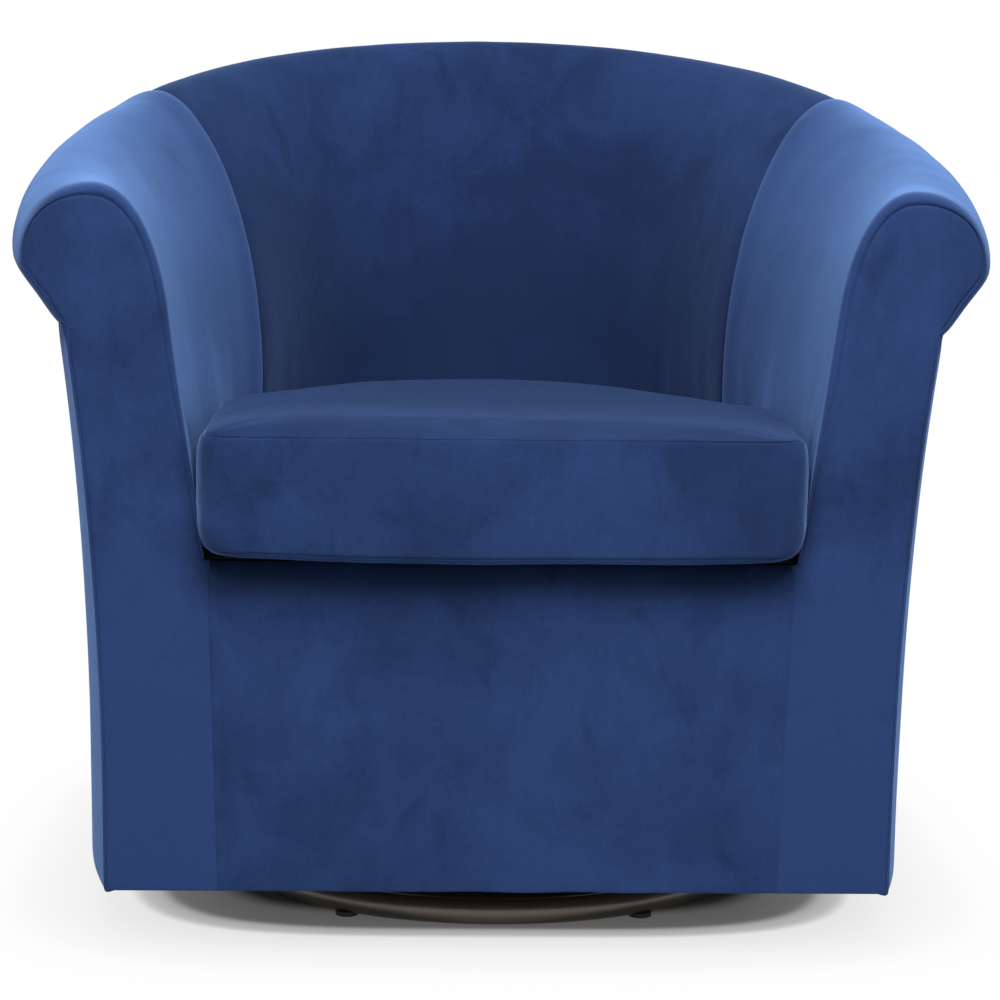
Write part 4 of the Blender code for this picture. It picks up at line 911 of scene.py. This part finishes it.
class CHAIR_OT_cushion(bpy.types.Operator):
    """Loose boxed cushion, blown up by a short cloth simulation while its seams are held"""

    bl_idname = "club_chair.cushion"
    bl_label = "Seat Cushion"

    def execute(self, context):
        sizes = context.scene.chair_sizes
        velvet = once("cut_velvet", velvet_finish, context.scene.chair_looks)
        low, high = DECK_TOP + CUSHION_ROOM, DECK_TOP + CUSHION_BORDER
        seams = (low + 0.0060, high)
        bm = self.sewn_shape(low, high, sizes)
        piece = new_piece("seat_cushion", bm, velvet, "cushion", ("cushion_cover", "cushion_core"))
        self.remesh(context, piece, 0.0055)
        self.blow_up(context, piece, seams)
        self.sew(piece, seams)
        lie = piece.data.attributes.get("nap") or piece.data.attributes.new("nap", "FLOAT", "POINT")
        lie.data.foreach_set("value", [self.cushion_nap(vert) for vert in piece.data.vertices])
        finer = piece.modifiers.new("smooth_cloth", "SUBSURF")
        finer.levels = finer.render_levels = 1
        return {"FINISHED"}

    def cushion_nap(self, vert):
        """Lighter on the front, darker on the top, and darker still towards the back of the top."""
        top = blend(-0.80, -1.20, ease((vert.co.y - FRONT_Y) / 0.20))
        return blend(-0.45, top, ease(vert.normal.z))

    def plan(self, height, shrink, count=190):
        """Plan outline of the cushion at a height: it fills the tub and stands out in front of the arms."""
        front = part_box("cushion_cover")[0][1] - CUSHION_REACH + shrink
        widest, corner = CUSHION_HALF_WIDTH + 0.0025 - shrink, CUSHION_CORNER
        points = [(0.0, front)]
        for step in range(10):
            angle = math.radians(-90 + 10 * step)
            points.append((widest - corner + corner * math.cos(angle),
                           front + corner + corner * math.sin(angle)))
        for place in steps(corner, WALL_LENGTH, 0.010):
            inner = face_at(inner_line(place, 0.5), height) - CUSHION_ROOM - shrink
            point = in_space(place, 1, [(inner, 0.0)])[0]
            points.append((min(point.x, widest + (point.y - FRONT_Y) * CUSHION_WIDENING), point.y))
        points[-1] = (0.0, points[-1][1])
        points = np.array(points)
        length = np.concatenate(([0.0], np.cumsum(np.hypot(*np.diff(points, axis=0).T))))
        even_steps = np.linspace(0.0, length[-1], count // 2 + 1)
        right = list(zip(*(np.interp(even_steps, length, column) for column in points.T)))
        return right + [(-x, y) for x, y in right[-2:0:-1]]

    def sewn_shape(self, low, high, sizes):
        """Closed rings from the middle of the underside over the boxing to the middle of the top."""
        middle = FRONT_Y + WIDEST_DEPTH
        levels = [(low, scale, 0.0) for scale in (0.3, 0.6, 0.85, 0.96)]
        levels += [(low + 0.0015, 0.985, 0.0), (low + 0.0040, 0.998, 0.0), (low + 0.0070, 1.0, 0.0004)]
        levels += [(blend(low + 0.012, high - 0.006, step / 8), 1.0, 0.0) for step in range(9)]
        levels += [(high, 1.0, 0.0006), (high + 0.0040, 0.985, 0.0)]
        levels += [(high + 0.0040, 0.96 - step * 0.08, 0.0) for step in range(11)]
        rows = []
        for height, scale, shrink in levels:
            outline = self.plan(max(min(height, high), WALL_FOOT_Z), 0.0030 + shrink)
            rise = sizes.crown * (1 - scale ** 10) if height > high else 0.0
            below = min(max(low + 0.026 - height, 0.0) / 0.026, 1.0)
            above = min(max(height - high + 0.014, 0.0) / 0.018, 1.0)
            cut = 0.020 * (1 - math.sqrt(1 - below ** 2)) + 0.007 * (1 - math.sqrt(1 - above ** 2))
            across = scale * (1 - cut / CUSHION_HALF_WIDTH)
            rows.append([Vector((x * across, middle + (y - middle) * scale, height + rise))
                         for x, y in outline])
        return self.closed(rows)

    def closed(self, rows):
        """A closed shape through rings of points, with flat ends."""
        bm = bmesh.new()
        row = [bm.verts.new(point) for point in rows[0]]
        edges = first = [bm.edges.new(pair) for pair in zip(row, row[1:] + row[:1])]
        for points in rows[1:]:
            row, edges = extruded(bm, row, edges, points)
        for end in (first, edges):
            bmesh.ops.contextual_create(bm, geom=end)
        bmesh.ops.recalc_face_normals(bm, faces=bm.faces)
        return bm

    def remesh(self, context, piece, size):
        """An even mesh, so that the cloth gives alike all over."""
        even_mesh = piece.modifiers.new("even_mesh", "REMESH")
        even_mesh.mode = "VOXEL"
        even_mesh.voxel_size = size
        even_mesh.use_smooth_shade = True
        old = piece.data
        evaluated = piece.evaluated_get(context.evaluated_depsgraph_get())
        piece.data = bpy.data.meshes.new_from_object(evaluated)
        piece.modifiers.clear()
        if not piece.data.materials:
            piece.data.materials.append(old.materials[0])
        bpy.data.meshes.remove(old)
        piece.data.name = piece.name

    def blow_up(self, context, piece, seams):
        """Pressure inside the cover, with the seams held; no point moves further than the cap."""
        start = [vert.co.copy() for vert in piece.data.vertices]
        held = piece.vertex_groups.new(name="seams")
        beside = [index for index, place in enumerate(start)
                  if min(abs(place.z - seams[0]), abs(place.z - seams[1])) < 0.0032]
        under = [index for index, place in enumerate(start) if place.z < seams[0] - 0.0035]
        held.add(beside + under, 1.0, "REPLACE")
        cloth = piece.modifiers.new("cloth", "CLOTH")
        settings = cloth.settings
        settings.quality = 6
        settings.mass = 0.25
        settings.tension_stiffness = settings.compression_stiffness = 12
        settings.shear_stiffness = 6
        settings.bending_stiffness = 0.4
        settings.use_pressure = True
        settings.uniform_pressure_force = 4
        settings.vertex_group_mass = held.name
        settings.effector_weights.gravity = 0
        for number in range(1, BLOW_FRAMES + 1):
            context.scene.frame_set(number)
        blown = piece.evaluated_get(context.evaluated_depsgraph_get()).to_mesh()
        ends = [vert.co.copy() for vert in blown.vertices]
        piece.to_mesh_clear()
        piece.modifiers.clear()
        piece.vertex_groups.clear()
        context.scene.frame_set(1)
        for vert, first, last in zip(piece.data.vertices, start, ends):
            move = last - first
            vert.co = first + (move if move.length < BLOW_CAP else move * (BLOW_CAP / move.length))

    def sew(self, piece, seams):
        """Cut the seam lines into the cover and draw them in, with small gathers beside them."""
        bm = bmesh.new()
        bm.from_mesh(piece.data)
        for seam in seams:
            for apart in (-0.0018, -0.0007, 0.0, 0.0007, 0.0018):
                bmesh.ops.bisect_plane(bm, geom=bm.verts[:] + bm.edges[:] + bm.faces[:], dist=0.0003,
                                       plane_co=(0, 0, seam + apart), plane_no=(0, 0, 1))
        bm.normal_update()
        for vert in bm.verts:
            near = min(abs(vert.co.z - seam) for seam in seams)
            level = Vector((vert.normal.x, vert.normal.y, 0.0))
            drop = SEAM_DEPTH * math.exp(-(near / SEAM_WIDTH) ** 2) * level.length
            gathers = 0.0007 * math.exp(-near / 0.010) * noise.noise(vert.co / 0.013)
            vert.co -= level * drop - vert.normal * gathers
            vert.co.z += self.settled(vert.co, seams)
        soften(bm, 0.0012, 0.11, 11.0)
        bm.to_mesh(piece.data)
        bm.free()
        piece.data.shade_smooth()

    def settled(self, place, seams):
        """Bottom corners hang less than the middle of the front, and the top falls back and to the right."""
        end = place.x / CUSHION_HALF_WIDTH
        front = ease((FRONT_Y + 0.010 - place.y) / 0.03)
        up = ease((place.z - seams[0]) / (seams[1] - seams[0]))
        corners = front * (1 - up) * (CORNER_RISE[0] if end < 0 else CORNER_RISE[1]) * end * end
        back = TOP_FALL * max(place.y - FRONT_Y, 0.0) * up
        return corners - back - TOP_TILT * place.x * ease((place.z - seams[1]) / 0.008)


class CHAIR_OT_hidden_cloth(bpy.types.Operator):
    """Deck under the cushion, straps behind the back and the cloth under the frame"""

    bl_idname = "club_chair.hidden_cloth"
    bl_label = "Deck, Straps And Under Cloth"

    def execute(self, context):
        deck = once("deck_twill", woven_finish, "deck_twill", (0.012, 0.019, 0.045), 900.0)
        piece = self.carry_over(deck, "deck_cloth", "deck_top", ("deck_cloth", "deck_pad"))[0]
        for vert in piece.data.vertices:
            vert.co.y = max(vert.co.y, FRONT_Y + 0.013)
        lining = once("under_lining", woven_finish, "under_lining", (0.014, 0.014, 0.016), 700.0)
        piece, area = self.carry_over(lining, "dust_cover", "under_cloth", ("dust_cover",))
        strap = once("jute_strap", woven_finish, "jute_strap", (0.42, 0.35, 0.25), 420.0)
        for word in ("left", "middle", "right"):
            web = f"back_web_{word}"
            piece, area = self.carry_over(strap, web, f"back_strap_{word}", (web,))
        return {"FINISHED"}

    def carry_over(self, material, node, name, replaced):
        """A merged copy of a plain solid, and its area on one side."""
        bm = bmesh.new()
        bm.from_mesh(frame["nodes"][node].data)
        bmesh.ops.remove_doubles(bm, verts=bm.verts, dist=0.00001)
        bmesh.ops.dissolve_limit(bm, angle_limit=math.radians(1), verts=bm.verts, edges=bm.edges)
        area = sum(face.calc_area() for face in bm.faces) / 2
        return new_piece(name, bm, material, "seat", replaced), area


class CHAIR_OT_base(bpy.types.Operator):
    """Round tube base"""

    bl_idname = "club_chair.base"
    bl_label = "Round Base"

    def execute(self, context):
        steel = base_steel(context.scene.chair_looks)
        low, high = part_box("base_ring")
        tube = (high[2] - low[2]) / 2
        middle = RING_LIFT + tube
        bm = bmesh.new()
        bmesh.ops.create_circle(bm, segments=28, radius=tube)
        bmesh.ops.rotate(bm, verts=bm.verts, matrix=Matrix.Rotation(math.pi / 2, 3, "X"))
        bmesh.ops.translate(bm, verts=bm.verts, vec=(high[0] - tube, 0, middle))
        bmesh.ops.spin(bm, geom=list(bm.verts) + list(bm.edges), cent=(0, 0, 0), axis=(0, 0, 1),
                       angle=math.tau, steps=160, use_merge=True)
        bmesh.ops.remove_doubles(bm, verts=bm.verts, dist=0.00001)
        bmesh.ops.recalc_face_normals(bm, faces=bm.faces)
        new_piece("round_base", bm, steel, "base", ("base_ring",))
        return {"FINISHED"}


class CHAIR_OT_finishes(bpy.types.Operator):
    """Finishes of the wood, steel and plastic that show as they are"""

    bl_idname = "club_chair.finishes"
    bl_label = "Frame Finishes"

    def execute(self, context):
        steel = base_steel(context.scene.chair_looks)
        zinc = metal_finish("zinc_plate", (0.50, 0.50, 0.51), 0.38, 260.0)
        wire = metal_finish("spring_wire", (0.24, 0.24, 0.25), 0.36, 420.0)
        boards = wood_finish("sawn_hardwood", (0.52, 0.36, 0.20), (0.33, 0.20, 0.10), 42.0, 1)
        layers = wood_finish("ply_board", (0.64, 0.48, 0.30), (0.46, 0.32, 0.18), 60.0, 2)
        plastic = plastic_finish()
        finishes = {"painted_steel": steel, "zinc_steel": zinc, "spring_steel": wire, "hardwood": boards,
                    "plywood": layers, "black_plastic": plastic}
        for row in frame["record"]["subparts"]:
            finish = finishes.get(row["material_slot"])
            node = frame["nodes"][row["node"]]
            if finish is not None:
                node.data.materials.clear()
                node.data.materials.append(finish)
        return {"FINISHED"}


# Lamps: name, place, size and the property with their power
LAMPS = (("top_lamp", (0.05, -2.0, 2.8), 2.4, "top_light"),
         ("front_lamp", (0.3, -3.4, 0.9), 2.4, "front_light"),
         ("left_lamp", (-3.4, 0.5, 1.6), 2.0, "fill_light"),
         ("right_lamp", (3.4, 0.5, 1.6), 2.0, "fill_light"),
         ("back_lamp", (0.0, 3.6, 1.8), 2.0, "fill_light"))

# White glow of the floor over the distance from the axis, whose inner stops paint the soft edge and lighter
# middle of the chair's shadow; and where the paper is painted dark under the chair as a shadow
FLOOR_WHITE_AND_SHADOW_EDGE = ((0.225, 0.0), (0.245, 0.08), (0.280, 0.10), (0.290, 0.36), (0.303, 0.46), (0.312, 0.77),
               (0.350, 0.84), (0.390, 0.90), (0.420, 0.97), (0.480, 1.0))
FLOOR_PAINTED_SHADOW = ((0.215, 0.0), (0.245, 1.0))

# Rays that see the white surround; the others only get its weak light
SEEN_WHITE = ("Camera", "Glossy", "Transmission")

CAMERA_X = -0.0577
CAMERA_TURN = (math.radians(8.033), 0.0252, math.radians(0.704))


class CHAIR_OT_stage(bpy.types.Operator):
    """Floor, surround, lamps and camera"""

    bl_idname = "club_chair.stage"
    bl_label = "Stage"

    def execute(self, context):
        stage = context.scene.chair_stage
        self.floor()
        self.surround(context, stage)
        for name, place, size, power in LAMPS:
            self.lamp(name, place, size, getattr(stage, power))
        self.camera(context, stage)
        context.scene.view_settings.view_transform = "Standard"
        return {"FINISHED"}

    def floor(self):
        """Pale paper, lit and shaded by the lamps, with a painted shadow: darker paper under the chair, and a
        glow for the camera and mirrors that is white further out and paints the shadow's soft edge.
        """
        bm = bmesh.new()
        bmesh.ops.create_circle(bm, cap_ends=True, segments=64, radius=9.0)
        mesh = bpy.data.meshes.new("floor")
        bm.to_mesh(mesh)
        bm.free()
        floor = bpy.data.objects.new("floor", mesh)
        bpy.context.scene.collection.objects.link(floor)
        finish = Finish("floor_paper", Roughness=0.55)
        place = finish.node("ShaderNodeSeparateXYZ", {}, {0: finish.place})
        far = sum((Number(finish, place.outputs[axis]) * share) ** 4.0
                  for axis, share in (("X", 0.875), ("Y", 1.0))) ** 0.25
        # Painted light and shadow edge: the glow's share over the distance from the axis.
        fade = finish.steps(far, *FLOOR_WHITE_AND_SHADOW_EDGE)
        # Painted shadow: dark paper under the chair.
        finish.set(Base_Color=finish.mix(finish.steps(far, *FLOOR_PAINTED_SHADOW), colour((0.06, 0.06, 0.06)),
                                         colour((0.42, 0.42, 0.41))))
        path = finish.node("ShaderNodeLightPath")
        seen = sum(Number(finish, path.outputs[f"Is {kind} Ray"]) for kind in SEEN_WHITE)
        white = finish.node("ShaderNodeEmission", {}, {"Color": (1, 1, 1, 1), "Strength": 1.0})
        mesh.materials.append(finish.mixed(fade * seen, white.outputs[0]))

    def surround(self, context, stage):
        """A weak even light that looks white."""
        world = bpy.data.worlds.new("surround")
        context.scene.world = world
        world.use_nodes = True
        nodes, links = world.node_tree.nodes, world.node_tree.links
        light, seen = nodes["Background"], nodes.new("ShaderNodeBackground")
        light.inputs["Color"].default_value = seen.inputs["Color"].default_value = (1, 1, 1, 1)
        light.inputs["Strength"].default_value = stage.world
        path, mixed = nodes.new("ShaderNodeLightPath"), nodes.new("ShaderNodeMixShader")
        either = path.outputs[f"Is {SEEN_WHITE[0]} Ray"]
        for kind in SEEN_WHITE[1:]:
            more = nodes.new("ShaderNodeMath")
            more.operation = "MAXIMUM"
            links.new(either, more.inputs[0])
            links.new(path.outputs[f"Is {kind} Ray"], more.inputs[1])
            either = more.outputs[0]
        links.new(either, mixed.inputs[0])
        links.new(light.outputs[0], mixed.inputs[1])
        links.new(seen.outputs[0], mixed.inputs[2])
        links.new(mixed.outputs[0], nodes["World Output"].inputs["Surface"])

    def lamp(self, name, place, size, power):
        """A round soft lamp that looks at the seat."""
        light = bpy.data.lights.new(name, "AREA")
        light.shape = "DISK"
        light.size = size
        light.energy = power
        lamp = bpy.data.objects.new(name, light)
        lamp.location = place
        lamp.rotation_euler = (Vector((0, 0, 0.4)) - lamp.location).to_track_quat("-Z", "Y").to_euler()
        bpy.context.scene.collection.objects.link(lamp)

    def camera(self, context, stage):
        """The camera that took the photo, found with the sizes from its perspective."""
        pitch, yaw, roll = CAMERA_TURN
        level = math.cos(pitch)
        forward = Vector((math.sin(yaw) * level, math.cos(yaw) * level, -math.sin(pitch)))
        across = Vector((math.cos(yaw), -math.sin(yaw), 0.0))
        up = across.cross(forward)
        right = across * math.cos(roll) + up * math.sin(roll)
        top = up * math.cos(roll) - across * math.sin(roll)
        data = bpy.data.cameras.new("camera")
        data.lens = stage.focal
        camera = bpy.data.objects.new("camera", data)
        context.scene.collection.objects.link(camera)
        turn = Matrix((right, top, -forward)).transposed().to_4x4()
        camera.matrix_world = Matrix.Translation((CAMERA_X, FRONT_Y - stage.distance, stage.height)) @ turn
        context.scene.camera = camera


class CHAIR_PT_panel(bpy.types.Panel):
    """Buttons for the chair's pieces"""

    bl_label = "Club Chair"
    bl_idname = "CHAIR_PT_panel"
    bl_space_type = "VIEW_3D"
    bl_region_type = "UI"
    bl_category = "Club Chair"

    def draw(self, context):
        for operator in OPERATORS:
            self.layout.operator(operator.bl_idname)
        for group in (context.scene.chair_looks, context.scene.chair_sizes, context.scene.chair_stage):
            box = self.layout.box()
            for name in type(group).__annotations__:
                box.prop(group, name)


OPERATORS = (CHAIR_OT_inside_covers, CHAIR_OT_outside_covers, CHAIR_OT_arm_fronts, CHAIR_OT_cushion,
             CHAIR_OT_hidden_cloth, CHAIR_OT_base, CHAIR_OT_finishes, CHAIR_OT_stage)
CLASSES = (ChairLooks, ChairSizes, ChairStage, *OPERATORS, CHAIR_PT_panel)


def register():
    for item in CLASSES:
        bpy.utils.register_class(item)
    bpy.types.Scene.chair_looks = PointerProperty(type=ChairLooks)
    bpy.types.Scene.chair_sizes = PointerProperty(type=ChairSizes)
    bpy.types.Scene.chair_stage = PointerProperty(type=ChairStage)


def unregister():
    del bpy.types.Scene.chair_stage
    del bpy.types.Scene.chair_sizes
    del bpy.types.Scene.chair_looks
    for item in reversed(CLASSES):
        bpy.utils.unregister_class(item)


def main():
    """Dress the chair and set the stage."""
    register()
    bpy.ops.club_chair.inside_covers()
    bpy.ops.club_chair.outside_covers()
    bpy.ops.club_chair.arm_fronts()
    bpy.ops.club_chair.cushion()
    bpy.ops.club_chair.hidden_cloth()
    bpy.ops.club_chair.base()
    bpy.ops.club_chair.finishes()
    bpy.ops.club_chair.stage()


if __name__ == "__main__":
    main()
